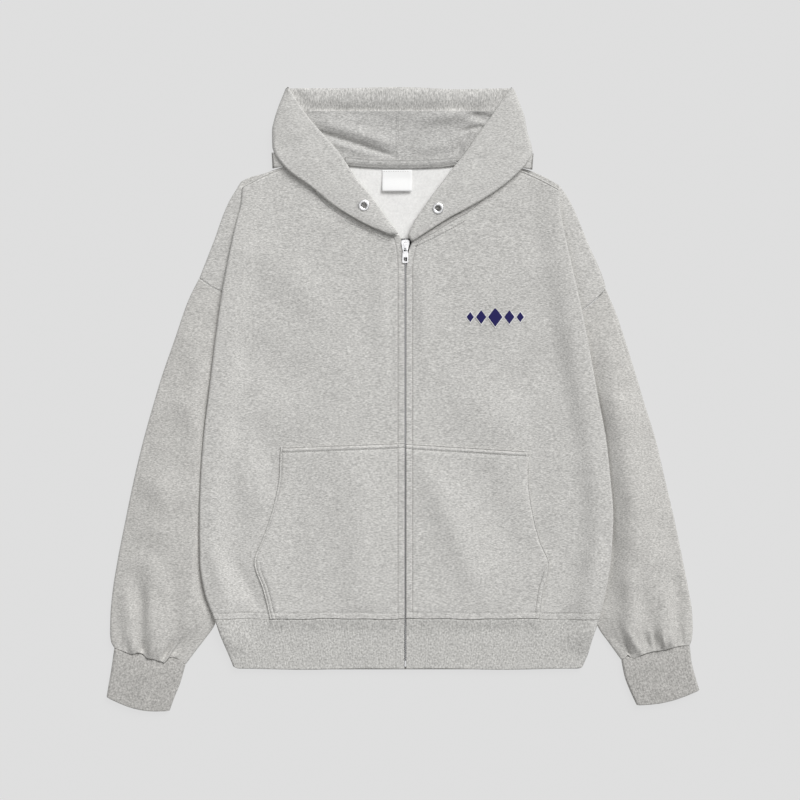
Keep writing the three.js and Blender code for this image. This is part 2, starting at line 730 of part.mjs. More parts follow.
// The ribbed hem: one band from the zip round the back to the zip.
function addHem() {
  const heights = [HEM_SEAM_Y, -288, -296, -305, -315, -325, -335, HEM_Y];
  const frontSteps = [FOLD_REACH, 26, 16, 9, ROLL];
  const half = (part, y) => {
    const out = read(part.hem, "out", y);
    const lift = edgeLift(y);
    const top = Math.max(FRONT_TOP, lift + 2 * ROLL);
    const points = [new THREE.Vector3(part.zipEdge, y, FRONT_TOP)];
    points.push(new THREE.Vector3(mix(part.zipEdge, out - FOLD_REACH, 0.5), y, FRONT_TOP));
    for (const inward of frontSteps) {
      const z = mix(top, FRONT_TOP, ease(inward, 4, FOLD_REACH));
      points.push(new THREE.Vector3(out - inward, y, z));
    }
    const middle = (top + lift) / 2;
    const reach = (top - lift) / 2;
    for (const degrees of [60, 30, 0, -30, -60, -90]) {
      const turn = (degrees * Math.PI) / 180;
      const x = out - ROLL + ROLL * Math.cos(turn);
      points.push(new THREE.Vector3(x, y, middle + reach * Math.sin(turn)));
    }
    for (const inward of [11, 16, 21, 31, 80]) {
      points.push(new THREE.Vector3(out - inward, y, lift * (1 - ease(inward, 11, 31))));
    }
    return points;
  };
  const rows = heights.map((y) => {
    const left = half(LEFT, y).map((p) => new THREE.Vector3(-p.x, p.y, p.z));
    const right = half(RIGHT, y).reverse();
    return [...left, new THREE.Vector3(0, y, 0), ...right];
  });
  addPiece("hem_rib", wall(rows, RIB, -1), "rib");
}

// Section of a half of the hood: the facing turned in at the face opening, its rolled edge, the
// face out to the side fold, and the layer that turns back under it.
function hoodSection(part, at) {
  const value = (key) => read(part.hood, key, at);
  const front = new THREE.Vector2(value("frontX"), value("frontY"));
  const side = new THREE.Vector2(value("sideX"), value("sideY"));
  const end = new THREE.Vector2(value("endX"), value("endY"));
  const width = front.distanceTo(side);
  const across = side.clone().sub(front).normalize();
  const frontLevel = value("frontTop");
  const sideLevel = value("sideTop");
  const under = value("under");
  const sideRoll = (sideLevel - under) / 2;
  const reach = Math.min(sideRoll, 0.45 * width);
  const crown = Math.min(1, width / 40);
  const place = (inward, z) => {
    const p = front.clone().addScaledVector(across, inward);
    return new THREE.Vector3(p.x, p.y, z);
  };
  const face = (f) => {
    const z = mix(frontLevel, sideLevel, f) + crown * Math.sin(Math.PI * f);
    return place(mix(HOOD_ROLL, width - reach, f), z);
  };
  return { width, across, frontLevel, sideLevel, under, sideRoll, reach, end, place, face };
}

function hoodFace(part) {
  const stations = [0, 0.5, 1, 2, 3, 4, 5, 5.6, 6, 6.35, 6.7, 7, 7.5, 8, 9, 10, 11];
  return stations.map((at) => {
    const s = hoodSection(part, at);
    const facing = Math.min(20, 0.42 * s.width);
    const facingLevel = s.frontLevel - 2 * HOOD_ROLL;
    const row = [];
    for (const f of [1, 0.5]) row.push(s.place(mix(HOOD_ROLL, facing, f), facingLevel));
    for (const degrees of [270, 225, 180, 135]) {
      const turn = (degrees * Math.PI) / 180;
      const z = s.frontLevel - HOOD_ROLL + HOOD_ROLL * Math.sin(turn);
      row.push(s.place(HOOD_ROLL + HOOD_ROLL * Math.cos(turn), z));
    }
    for (const f of [0, 0.17, 0.34, 0.52, 0.76, 1]) row.push(s.face(f));
    for (const degrees of [60, 30, 0, -30, -60, -90]) {
      const turn = (degrees * Math.PI) / 180;
      const z = s.sideLevel - s.sideRoll + s.sideRoll * Math.sin(turn);
      row.push(s.place(s.width - s.reach + s.reach * Math.cos(turn), z));
    }
    const last = row[row.length - 1];
    for (const f of [0.5, 1]) {
      row.push(new THREE.Vector3(mix(last.x, s.end.x, f), mix(last.y, s.end.y, f), s.under));
    }
    return row;
  });
}

// Place and direction of an eyelet on the hood's face.
function eyeletPlace(part) {
  const s = hoodSection(part, part.eyelet.at);
  const f = (part.eyelet.along - HOOD_ROLL) / (s.width - s.reach - HOOD_ROLL);
  const a = s.face(f - 0.08);
  const b = s.face(f + 0.08);
  const point = s.face(f);
  point.x *= part.hand;
  const slope = (b.z - a.z) / Math.hypot(b.x - a.x, b.y - a.y);
  const normal = new THREE.Vector3(-s.across.x * part.hand * slope, -s.across.y * slope, 1);
  return { point, normal: normal.normalize() };
}

const EYELET_RADIUS = 6.3;
const EYELET_HOLE = 3.7;
const EYELET_CUT = 5;

function turnedTo(geometry, place) {
  const turn = new THREE.Quaternion().setFromUnitVectors(new THREE.Vector3(0, 0, 1), place.normal);
  geometry.applyQuaternion(turn);
  geometry.translate(place.point.x, place.point.y, place.point.z);
  return geometry;
}

function addHood(name, part) {
  const outer = solidFrom(handedWall(part, hoodFace(part), FLEECE, -1));
  const place = eyeletPlace(part);
  const cutter = new THREE.CylinderGeometry(EYELET_CUT, EYELET_CUT, 2 * FLEECE + 1, 20);
  cutter.rotateX(Math.PI / 2);
  cutter.translate(0, 0, -0.5);
  addPiece(name, geometryFrom(outer.subtract(solidFrom(turnedTo(cutter, place)))), "fleece");
}

// A metal eyelet: a rounded flange on the cloth and a barrel through it.
function addEyelet(name, part) {
  const barrel = EYELET_CUT - 0.4;
  const profile = [
    [EYELET_HOLE, -FLEECE - 0.2],
    [barrel, -FLEECE - 0.2],
    [barrel, SEAM],
    [EYELET_RADIUS, SEAM],
    [EYELET_RADIUS - 0.4, 1],
    [(EYELET_RADIUS + EYELET_HOLE) / 2, 1.4],
    [EYELET_HOLE + 0.3, 1],
    [EYELET_HOLE, 0.3],
  ].map(([r, z]) => new THREE.Vector2(r, z));
  const geometry = new THREE.LatheGeometry([...profile, profile[0].clone()], 24);
  geometry.rotateX(Math.PI / 2);
  addPiece(name, turnedTo(geometry, eyeletPlace(part)), "metal", true);
}

// Face opening of the hood at a height: how far out its edge lies.
function openingOut(part, y) {
  const rows = part.hood.map((row) => ({ at: row.frontY, out: row.frontX }));
  return read(rows, "out", y);
}

// Height of the hood lining's face: the fold across its top, and its creases.
const FOLD_Y = 371;
function liningTop(part, x, y) {
  const clear = ease(openingOut(part, y) - x, 4, 24);
  const across = ease(y, FOLD_Y - 22, FOLD_Y - 1.5) * (1 - ease(y, FOLD_Y - 1.5, FOLD_Y));
  let z = LINING_TOP + 2.2 * across * clear;
  for (const crease of part.creases) {
    const length = Math.hypot(crease.x1 - crease.x0, crease.y1 - crease.y0);
    const ux = (crease.x1 - crease.x0) / length;
    const uy = (crease.y1 - crease.y0) / length;
    const along = (x - crease.x0) * ux + (y - crease.y0) * uy;
    const aside = Math.abs((x - crease.x0) * uy - (y - crease.y0) * ux);
    const fade = ease(along, 0, length * 0.25) * (1 - ease(along, length * 0.75, length));
    z += crease.height * fade * (1 - ease(aside, 0, crease.width)) * clear;
  }
  return z;
}

function addLining(name, part) {
  const neckGap = 0.6;
  const heights = [0, 320, 328, 336, 344, 352, 359, 366, 369.5, 371, 385, HOOD_TOP_Y - 0.5];
  const rows = heights.map((y) => {
    const row = [];
    for (let i = 0; i <= 9; i += 1) {
      const level = y === 0 ? 312 : y;
      const out = Math.min(openingOut(part, level) + 9, openingOut(part, 399));
      const x = mix(part.liningEdge, out, i / 9);
      const neck = read(BACK_TOP, "y", x * part.hand) + neckGap;
      const here = y === 0 ? neck : y;
      row.push(new THREE.Vector3(x, here, liningTop(part, x, here)));
    }
    return row;
  });
  addPiece(name, handedWall(part, rows, FLEECE, -1), "lining");
}

function addNeckTape() {
  const thick = 1;
  const rows = [
    { above: 7, z: LINING_TOP + SEAM + thick },
    { above: 0.4, z: LINING_TOP + SEAM + thick },
    { above: -2.4, z: 5.2 },
    { above: -4.8, z: FLEECE + SEAM + thick + 0.1 },
  ].map(({ above, z }) => {
    const row = [];
    for (let i = 0; i <= 14; i += 1) {
      const x = mix(-74, 68, i / 14);
      row.push(new THREE.Vector3(x, read(BACK_TOP, "y", x) + above, z));
    }
    return row;
  });
  addPiece("neck_tape", wall(rows, thick, 1), "tape");
}

function box([x0, x1], [y0, y1], [z0, z1]) {
  const geometry = new THREE.BoxGeometry(x1 - x0, y1 - y0, z1 - z0);
  geometry.translate((x0 + x1) / 2, (y0 + y1) / 2, (z0 + z1) / 2);
  return geometry;
}

function addNeckLabel() {
  const bottom = FLEECE + SEAM;
  addPiece("neck_label", box([-27, 11.5], [267.5, 295.5], [bottom, bottom + 0.8]), "label");
}

// A pocket: a panel laid on the front, from the zip out to its cut edge.
function addPocket(name, part) {
  const heights = [-279.8, -262, -243, -225, -209, -195, -180, -160, -127.5, -95, -70, 0];
  const rows = heights.map((y) => {
    const row = [];
    for (let i = 0; i <= 5; i += 1) {
      const f = i / 5;
      const top = mix(part.pocketTop.inner, part.pocketTop.outer, f);
      const here = y === 0 ? top : y;
      const x = mix(part.zipEdge, read(part.pocket, "out", here), f);
      row.push(new THREE.Vector3(x, here, FRONT_TOP + SEAM + POCKET_CLOTH));
    }
    return row;
  });
  addPiece(name, handedWall(part, rows, POCKET_CLOTH, -1), "fleece");
}

// Zip: a tape under each front's edge, its bead standing in the gap between them.
const ZIP_TOP_Y = 207;
const ZIP_BOTTOM_Y = -333;
const TAPE_TOP = 4.5;
const BEAD_TOP = 6.9;
function addZipTape(name, hand) {
  const outline = new THREE.Shape([
    new THREE.Vector2(0.2, TAPE_TOP - 0.9),
    new THREE.Vector2(13, TAPE_TOP - 0.9),
    new THREE.Vector2(13, TAPE_TOP),
    new THREE.Vector2(1.1, TAPE_TOP),
    new THREE.Vector2(1.1, BEAD_TOP),
    new THREE.Vector2(0.2, BEAD_TOP),
  ]);
  const geometry = new THREE.ExtrudeGeometry(outline, {
    depth: ZIP_TOP_Y - ZIP_BOTTOM_Y,
    bevelEnabled: false,
  });
  geometry.rotateX(Math.PI / 2);
  if (hand < 0) {
    geometry.rotateZ(Math.PI);
    geometry.translate(0, ZIP_BOTTOM_Y, 0);
  } else {
    geometry.translate(0, ZIP_TOP_Y, 0);
  }
  geometry.translate(ZIP_X, 0, 0);
  addPiece(name, geometry, "tape");
}

// Slider: a plate on the zip with a post between the fronts and an arch for the pull tab.
const SLIDER_Y = 199;
const PLATE = 1.5; // thickness of the plate
const ARCH = 2.4; // width of the arch
const PLATE_TOP = FRONT_TOP + SEAM + PLATE;
const HINGE_Y = 195;
const HINGE_Z = PLATE_TOP + 1.25;
function addSlider() {
  const plate = new THREE.Shape();
  plate.moveTo(-3.6, -6.4);
  plate.lineTo(3.6, -6.4);
  plate.lineTo(5.1, 2);
  plate.lineTo(5.1, 4.6);
  plate.lineTo(3.4, 6.4);
  plate.lineTo(-3.4, 6.4);
  plate.lineTo(-5.1, 4.6);
  plate.lineTo(-5.1, 2);
  plate.closePath();
  const plateSolid = new THREE.ExtrudeGeometry(plate, { depth: PLATE, bevelEnabled: false });
  plateSolid.translate(ZIP_X, SLIDER_Y, PLATE_TOP - PLATE);
  const post = box([ZIP_X - 0.9, ZIP_X + 0.9], [SLIDER_Y - 4, SLIDER_Y + 4], [
    BEAD_TOP + SEAM,
    PLATE_TOP - 0.5,
  ]);
  const arch = new THREE.Shape();
  arch.moveTo(-6.2, 0);
  arch.lineTo(-6.2, 1.6);
  arch.quadraticCurveTo(-6, 4, -2.8, 4);
  arch.lineTo(0.5, 4);
  arch.quadraticCurveTo(3.4, 3.6, 3.6, 0);
  arch.closePath();
  const eye = new THREE.Path();
  eye.moveTo(-5.3, 0.2);
  eye.lineTo(1.6, 0.2);
  eye.lineTo(0.6, 2.8);
  eye.lineTo(-5, 2.8);
  eye.closePath();
  arch.holes.push(eye);
  const archSolid = new THREE.ExtrudeGeometry(arch, {
    depth: ARCH,
    bevelEnabled: false,
    curveSegments: 4,
  });
  archSolid.rotateX(Math.PI / 2);
  archSolid.rotateZ(Math.PI / 2);
  archSolid.translate(ZIP_X - ARCH / 2, SLIDER_Y, PLATE_TOP - 0.2);
  const whole = solidFrom(plateSolid).add(solidFrom(post)).add(solidFrom(archSolid));
  addPiece("zip_slider", geometryFrom(whole), "metal", true);
}

// Pull tab: a flat tab with a window, hung by a bar that lies in the slider's arch.
const PULL_TILT = (6.2 * Math.PI) / 180;
const PULL = 1.3; // thickness of the tab
function addPull() {
  const outline = new THREE.Shape();
  outline.moveTo(-3, 0.7);
  outline.lineTo(-3, -5);
  outline.lineTo(-3.7, -7.5);
  outline.lineTo(-3.7, -18);
  outline.quadraticCurveTo(-3.6, -19.4, -2, -19.4);
  outline.lineTo(2, -19.4);
  outline.quadraticCurveTo(3.6, -19.4, 3.7, -18);
  outline.lineTo(3.7, -7.5);
  outline.lineTo(3, -5);
  outline.lineTo(3, 0.7);
  outline.closePath();
  const eye = new THREE.Path();
  eye.moveTo(-1.7, -0.7);
  eye.lineTo(-1.7, -4.6);
  eye.lineTo(1.7, -4.6);
  eye.lineTo(1.7, -0.7);
  eye.closePath();
  const grip = new THREE.Path();
  grip.moveTo(-2.3, -12.2);
  grip.lineTo(-2.3, -17.4);
  grip.lineTo(2.3, -17.4);
  grip.lineTo(2.3, -12.2);
  grip.closePath();
  outline.holes.push(eye, grip);
  const geometry = new THREE.ExtrudeGeometry(outline, {
    depth: PULL,
    bevelEnabled: false,
    curveSegments: 4,
  });
  geometry.translate(0, 0, -PULL / 2);
  const mesh = addPiece("zip_pull", geometry, "metal", true);
  mesh.position.set(ZIP_X, HINGE_Y, HINGE_Z);
  mesh.rotation.x = PULL_TILT;
}

function addZipStop() {
  const along = [ZIP_BOTTOM_Y - 8, ZIP_BOTTOM_Y - SEAM];
  addPiece("zip_stop", box([ZIP_X - 1, ZIP_X + 1], along, [4.2, 7.8]), "metal", true);
}

for (const [name, part] of [["left", LEFT], ["right", RIGHT]]) {
  addFront("front_" + name, part);
  addSleeve("sleeve_" + name, part);
  addCuff("cuff_" + name, part);
  addHood("hood_" + name, part);
  addEyelet("eyelet_" + name, part);
  addLining("hood_lining_" + name, part);
  addPocket("pocket_" + name, part);
  addZipTape("zip_tape_" + name, part.hand);
}
addBack();
addHem();
addNeckTape();
addNeckLabel();
addSlider();
addPull();
addZipStop();

export default hoodie;
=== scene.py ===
"""A heavy fleece zip up hoodie lying flat on its back, zipped, its hood spread open above it.

Sizes in the tables are millimetres: x runs across, y up the garment and z up from the surface.
Left and right are those of a person looking down at it.
"""
import math

import bpy
import numpy as np
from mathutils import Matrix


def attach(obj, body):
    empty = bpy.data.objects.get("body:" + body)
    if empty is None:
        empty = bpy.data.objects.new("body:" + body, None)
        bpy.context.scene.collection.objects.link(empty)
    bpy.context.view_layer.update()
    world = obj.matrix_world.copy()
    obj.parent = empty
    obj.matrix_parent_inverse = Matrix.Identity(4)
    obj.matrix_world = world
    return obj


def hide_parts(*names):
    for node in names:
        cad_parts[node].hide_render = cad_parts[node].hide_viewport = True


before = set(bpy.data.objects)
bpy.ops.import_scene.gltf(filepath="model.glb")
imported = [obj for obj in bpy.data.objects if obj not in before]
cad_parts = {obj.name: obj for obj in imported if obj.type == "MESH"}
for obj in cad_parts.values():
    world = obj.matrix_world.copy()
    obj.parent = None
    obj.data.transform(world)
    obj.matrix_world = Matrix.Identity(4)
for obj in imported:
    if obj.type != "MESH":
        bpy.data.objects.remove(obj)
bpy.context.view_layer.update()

bl_info = {
    "name": "Zip Up Hoodie, Laid Flat",
    "version": (1, 0, 0),
    "blender": (4, 5, 0),
    "location": "View3D > Sidebar > Hoodie",
    "description": "Builds a fleece zip up hoodie that lies flat, piece by piece",
    "category": "Object",
}

MM = 0.001
BODY = "garment"

# Cloth, rolled edges and gaps
FLEECE = 2.5
RIB = 2.5
POCKET_CLOTH = 2.2
SEAM = 0.3
SEAM_INSET = 5.2  # how far the side seam lies in from the fold
ROLL = 3.1
UNDERARM_ROLL = 2.8
FRONT_ROLL = 2.9
SLIT = 0.15  # between the two edges of a sleeve at its underarm

# Stitch lines, as distances in from an edge, and the channels they press into the cloth
PLACKET_STITCH = {-1: 8.5, 1: 8}
HEM_STITCH = 8.0
SHOULDER_STITCH = 3.5
POCKET_STITCH = 7.0
POCKET_RIM = 2.0
STITCH_WIDTH = 0.9
STITCH_SINK = 0.15
STITCH_SHARE = 0.78  # how much of the pitch a stitch takes up
THREAD_HEIGHT = 0.55  # height of the thread for its width
FRONT_SINK = 0.35  # how deep the front's stitches lie in their channels
POCKET_SINK = 0.32
DEEPEST = -1.8  # no channel or rounded edge goes deeper than this
POCKET_DEEPEST = -1.5
# The neck seam's heavier dark thread is real topstitching that also paints the shade in the seam's
# groove.
NECK_THREAD_WITH_SHADE = 1.9  # how many times thicker the neck seam's thread is

# The top of the lining: its fold, the dip behind that, the swell past it, the ridge where both
# halves meet, and the rise, middle and width of each swell along the hood's top edge
TOP_FOLD, TOP_DIP, TOP_SWELL = 2.2, 0.8, 3.2
RIDGE, RIDGE_WIDTH = 1.1, 1.5
TOP_WANDER = ((1.5, -8, 42), (-1.3, 72, 34))

# Where the brushed side shows in the neck, and where the hood's lower layer peeps out, darkened there
# with painted shade
BRUSHED_HALF, BRUSHED_LOW = 118, 150
CORNER_IN, CORNER_HIGH, CORNER_LEVEL = 147, 319, 6.9
CORNER_TOP, CORNER_FALL = 6.6, 2.6

# How full the cloth lies
SIDE_FULLNESS = 3.0  # swell of the body just inside its side folds
SIDE_SWELL = (24, 13)  # its middle and width, in from the fold
TURNED_UNDER = 10  # width of the layer turned under at the side fold, by the shoulder
LOFT = 1.6  # how much a sleeve stands up between its edges, beyond its plain form
SLEEVE_DEPTH = 1.3  # how many times deeper a sleeve's creases are than the body's
LIFT_FADE = (11, 31)  # how far in the back is lifted where it lies on a sleeve

# Levels above the surface
FRONT_TOP = 7.6
SHOULDER_TOP = 5.8
FOLD_UNDER = 7.8
STRIP_TOP = 6.9
SLEEVE_HEAD_TOP = 6.7
FOLD_FADE = 3.6
LINING_TOP = 5.3

# Places along the garment
ZIP_X = 3.0
ZIP_GAP = 1.05
HEM_SEAM_Y = -280.4
HEM_Y = -344.5
ARMPIT_Y = -8.0
LIFTED_Y = -35.0  # from here down the body's sides lie on the sleeves
LOW_ARMHOLE_Y = -60.0  # from here down the side seam follows the body's edge
HEM_DROP = (-338, -296)  # between these the sides come down to the surface
HOOD_TOP_Y = 400.0
FOLD_Y = 371.0
ZIP_TOP_Y = 207.0
ZIP_BOTTOM_Y = -333.0
TAPE_LEFT, TAPE_RIGHT = -74, 68
LABEL_LEFT, LABEL_RIGHT = -27, 11.5
LABEL_LOW, LABEL_HIGH = 267.5, 295.5
LABEL_LIFT, LABEL_CLOTH = 3.2, 0.6
BADGE_X, BADGE_Y = 118.0, 106.5

# Zip teeth: half their size along the zip, how far they pass the middle, and their levels
TOOTH_HALF = 0.6
TOOTH_PAST = 0.1
TOOTH_LOW, TOOTH_HIGH = 6.0, 7.3

# Studio: strengths of the lights, the sun's spread and tilt in degrees, and the camera
AMBIENT = 0.335
SUN_POWER = 2.6
SUN_SPREAD = 36
SUN_TILT = (-41, 31)
SOFT_BOX_POWER = 7.0
SOFT_BOX_HEIGHT = 3.5
FLOOR_GLOW = 0.7355
FLOOR_GLOW_SHARE = 0.94
FLOOR_HALF = 4000
FLOOR_DROP = 0.02
LENS = 100
CAMERA_PLACE = (-0.00384, 0.0003, 2.852)


def table(names, rows):
    """Columns of sizes by name. Rows that give no place "at" are numbered from 0."""
    columns = dict(zip(names.split(), np.array(rows, float).T))
    columns.setdefault("at", np.arange(len(rows), dtype=float))
    return columns


LEFT_EDGE = table("at out", [
    (-281.5, 240.5), (-268, 246), (-255, 251), (-243, 254.5), (-204, 260), (-150, 260.5),
    (-102, 259), (-51, 255.5), (4, 249), (82, 239.5), (138, 231.5), (198, 220), (230, 213),
    (252, 207.5), (274, 205.5),
])

RIGHT_EDGE = table("at out", [
    (-281.5, 251), (-268, 254.5), (-255, 257.5), (-243, 260), (-204, 266), (-148, 269),
    (-102, 265.5), (-51, 260), (5, 249.5), (82, 235.5), (138, 224), (177, 215), (211, 207.5),
    (243, 202), (274, 200),
])

LEFT_SHOULDER = table("at out", [
    (157, 261), (179.5, 252), (205, 242), (243.5, 228), (262, 219), (280, 208),
])

RIGHT_SHOULDER = table("at out", [
    (143.5, 260), (154, 257.5), (205, 235.5), (230, 225.5), (256, 213.5), (276, 199.5),
])

LEFT_ARMHOLE = table("at out", [
    (-60, 250), (-35, 243), (-8, 242), (26, 239.6), (68, 236), (112, 233), (138.5, 230.8),
    (143, 239.2), (149, 246.8), (157, 261),
])

RIGHT_ARMHOLE = table("at out", [
    (-60, 252), (-35, 244), (-8, 243), (20, 240), (55, 236), (90, 232), (115.7, 228.6),
    (125.6, 239), (132.6, 251.4), (143.5, 260),
])

BACK_TOP = table("at y", [
    (-208, 280), (-196, 286), (-180.5, 290), (-156, 298.5), (-116.5, 308.5), (-80, 305.5),
    (-40, 302), (-6, 301), (40, 302), (70, 305), (103.5, 308.5), (140, 300.5), (164, 294),
    (185, 284.5), (199.5, 276),
])

LEFT_LINES = table("out y edge_y bow", [
    (-1.95, -280.3, -280.3, 0), (-1.95, -262, -262, 0), (-1.95, -240, -240, 0),
    (-1.95, -200, -200, 0), (-1.95, -150, -150, 0), (-1.95, -100, -100, 0), (-1.95, -60, -60, 0),
    (-1.95, -35, -35, 0), (-1.95, 20, 15, 0), (-1.95, 100, 85, 0), (-1.95, 170, 140, 0),
    (5, 211.5, 180, 0), (23, 213, 196, 0), (52, 226.5, 210, 0), (76, 240.5, 224, 0),
    (96, 257, 240, 1), (110, 282, 256, 3), (116.5, 308, 273, 6),
])

RIGHT_LINES = table("out y edge_y bow", [
    (4.05, -280.3, -280.3, 0), (4.05, -262, -262, 0), (4.05, -240, -240, 0),
    (4.05, -200, -200, 0), (4.05, -150, -150, 0), (4.05, -100, -100, 0), (4.05, -60, -60, 0),
    (4.05, -35, -35, 0), (4.05, 20, 15, 0), (4.05, 100, 85, 0), (4.05, 165, 140, 0),
    (11, 201.5, 178, 0), (32, 215.5, 194, 0), (58, 232, 209, 0), (80, 245, 223, 0),
    (95, 262, 239, 1), (102, 286, 255, 3), (103.5, 308, 270, 6),
])

LEFT_STRIP = table("in_x in_y out_x out_y bow", [
    (221.5, 135.6, 261, 156.6, -2.5), (215, 160, 252, 179.5, -1), (209, 190, 242, 205, 0),
    (203.5, 220, 229.5, 240, 0), (199, 246, 219.5, 261, 0), (197.5, 268, 208, 276.5, 0),
])

RIGHT_STRIP = table("in_x in_y out_x out_y bow", [
    (219, 110, 260, 142.6, -3.4), (212.5, 142, 249.5, 172, -1), (204.5, 175, 237, 201, 0),
    (198.5, 208, 225.5, 230, 0), (194, 240, 213, 257, 0), (192, 265, 201, 275, 0),
])

# How far the underarm is closed, the roll of its outer edge and how it crowns, both sides.
SLEEVE_FORM = table("closed roll crown", [
    (0, 2.8, 0.4), (0, 3.2, 1), (0, 3.5, 1.8), (0, 3.6, 2.4), (1, 3.6, 2.8), (1, 3.6, 3.1),
    (1, 3.6, 3.4), (1, 3.6, 3.4), (1, 3.6, 3.4), (1, 3.6, 3.5), (1, 3.7, 3.6), (1, 3.8, 3.6),
    (1, 3.9, 2.6), (1, 3.7, 0.8),
])

LEFT_SLEEVE = SLEEVE_FORM | table("out_x out_y top_x top_y low_x low_y bow", [
    (261.3, 156.4, 221.5, 135.4, 231.4, 137.8, -2.5), (275, 128.5, 224.5, 112, 233.6, 112, -1),
    (293, 77, 231.5, 68, 236.6, 68, 0), (309, 31, 237.5, 26, 240.2, 26, 0),
    (321, -9, 242.8, -9, 242.8, -9, 0), (333, -52, 245, -48, 245, -48, 0),
    (345, -102, 247.5, -102, 247.5, -102, 0), (356, -155, 249, -155, 249, -155, 0),
    (366, -206, 250.5, -206, 250.5, -206, 0), (372, -243, 247, -243, 247, -243, 0),
    (375, -275, 235, -270, 235, -270, 0), (375.5, -297, 241.3, -288, 241.3, -288, 0),
    (374, -311, 259.5, -315, 259.5, -315, 0), (370, -319.5, 278.5, -342.3, 278.5, -342.3, 0),
])

RIGHT_SLEEVE = SLEEVE_FORM | table("out_x out_y top_x top_y low_x low_y bow", [
    (260.3, 142.2, 219, 109.5, 229.2, 114.4, -3.6), (274, 109, 224.5, 88, 232.6, 90, -1),
    (287.5, 68, 230.5, 55, 236.6, 55, 0), (299, 31, 238, 20, 240.6, 20, 0),
    (311, -9, 243.8, -9, 243.8, -9, 0), (324, -51, 249.5, -50, 249.5, -50, 0),
    (336, -102, 254.5, -102, 254.5, -102, 0), (348, -153.5, 257.5, -153, 257.5, -153, 0),
    (358.5, -204.5, 257, -204, 257, -204, 0), (366, -243, 253.5, -243, 253.5, -243, 0),
    (370.5, -270, 243.5, -273, 243.5, -273, 0), (371.5, -290, 251.2, -293, 251.2, -293, 0),
    (370.5, -305, 263, -310, 263, -310, 0), (367.5, -315, 279.5, -333.2, 279.5, -333.2, 0),
])

LEFT_CUFF = table("out_x out_y in_x in_y bow roll", [
    (370.05, -319.65, 278.55, -342.45, 0, 3.7), (373.5, -343, 284.5, -361, -1, 3.9),
    (377, -363, 292.5, -380, -4, 3.9), (380, -380.5, 299, -398, -7, 3.7),
])

RIGHT_CUFF = table("out_x out_y in_x in_y bow roll", [
    (367.55, -315.15, 279.55, -333.35, 0, 3.7), (370, -336, 283.5, -353, -1, 3.9),
    (375, -355, 291, -373, -3, 3.9), (380, -371.5, 299.5, -391, -5, 3.7),
])

# How the cuff's seam wanders up and down, from the inner side (0) out (1).
LEFT_CUFF_SEAM = table("at rise", [
    (0, 3.6), (0.06, 6.5), (0.13, 8.6), (0.22, 7.4), (0.26, 3), (0.3, -1), (0.44, 0.4), (0.55, 0),
    (0.6, 3.2), (0.66, 3.7), (0.72, 1), (0.78, -0.4), (0.89, 1), (1, 2),
])
RIGHT_CUFF_SEAM = table("at rise", [
    (0, 0.5), (0.06, 1), (0.1, 4.6), (0.15, 0), (0.19, -1.2), (0.27, 1), (0.47, 2.6), (0.6, 1.8),
    (0.74, 2.4), (0.85, 2.6), (1, 0.5),
])

LEFT_HEM = table("at out", [
    (-344.5, 217.5), (-319.5, 226.5), (-300.5, 234), (-281.1, 240.5),
])

RIGHT_HEM = table("at out", [
    (-343, 230.5), (-326, 237), (-307, 242), (-281.1, 251),
])

# Levels of the hood's front edge, its side and the layer under it, the same on both sides.
HOOD_LEVELS = table("front_top side_top under", [
    (13.7, 13.7, 7.9), (13.7, 13.7, 7.9), (13.7, 13.7, 7.9), (13.7, 13.7, 7.9), (13.6, 13.7, 7.9),
    (13.4, 13.5, 7.7), (13.2, 13, 7.2), (12.9, 11.6, 0), (12.6, 11.4, 0), (12.4, 11.4, 0),
    (12.2, 11.3, 0), (12, 11.2, 0),
])

LEFT_HOOD = HOOD_LEVELS | table("front_x front_y side_x side_y end_x end_y", [
    (6, 213.5, 15, 211, 12, 212.5), (19, 230.5, 48, 225, 43, 227),
    (30, 246, 74, 239.5, 66, 242.5), (45, 266, 93.5, 252.5, 83, 256),
    (59, 282, 119, 274, 98, 277), (72, 303, 144.5, 292, 108, 295),
    (84.5, 320.5, 157.5, 306, 112, 311.5), (100, 338, 167.5, 325, 96, 314),
    (118, 358.5, 167.8, 345, 50, 309.5), (126, 369, 165, 359, 6.4, 309),
    (134, 381, 160, 375, 6.4, 350), (146, 400, 150.5, 398.8, 6.4, 400),
])

RIGHT_HOOD = HOOD_LEVELS | table("front_x front_y side_x side_y end_x end_y", [
    (6, 210, 11, 202.5, 9.5, 205), (15.5, 230.5, 36, 218.5, 32, 221),
    (26, 246, 60, 233.5, 54, 236.5), (40, 266, 86, 247.5, 77, 251.5),
    (52.5, 282, 111.5, 262.5, 91, 269), (66, 300, 137, 281.5, 99, 290),
    (79.5, 316.5, 158, 303, 100, 311.5), (94, 338, 166, 319, 89, 314),
    (111.5, 361.5, 159, 345, 38, 309.5), (118, 371, 156, 362.5, -6, 309),
    (126, 383, 150, 379, -6, 350), (137.5, 399.3, 142.5, 398, -6, 399.3),
])

LEFT_POCKET = table("at out", [
    (-279.8, 170), (-243, 179), (-207, 190.5), (-180, 181), (-159.5, 173), (-127.5, 164),
    (-95, 158.5), (-57, 157),
])

RIGHT_POCKET = table("at out", [
    (-279.8, 175.5), (-243, 180.5), (-212, 188), (-180, 176), (-153.5, 169), (-127.5, 164.5),
    (-95, 161.5), (-60, 161.5),
])
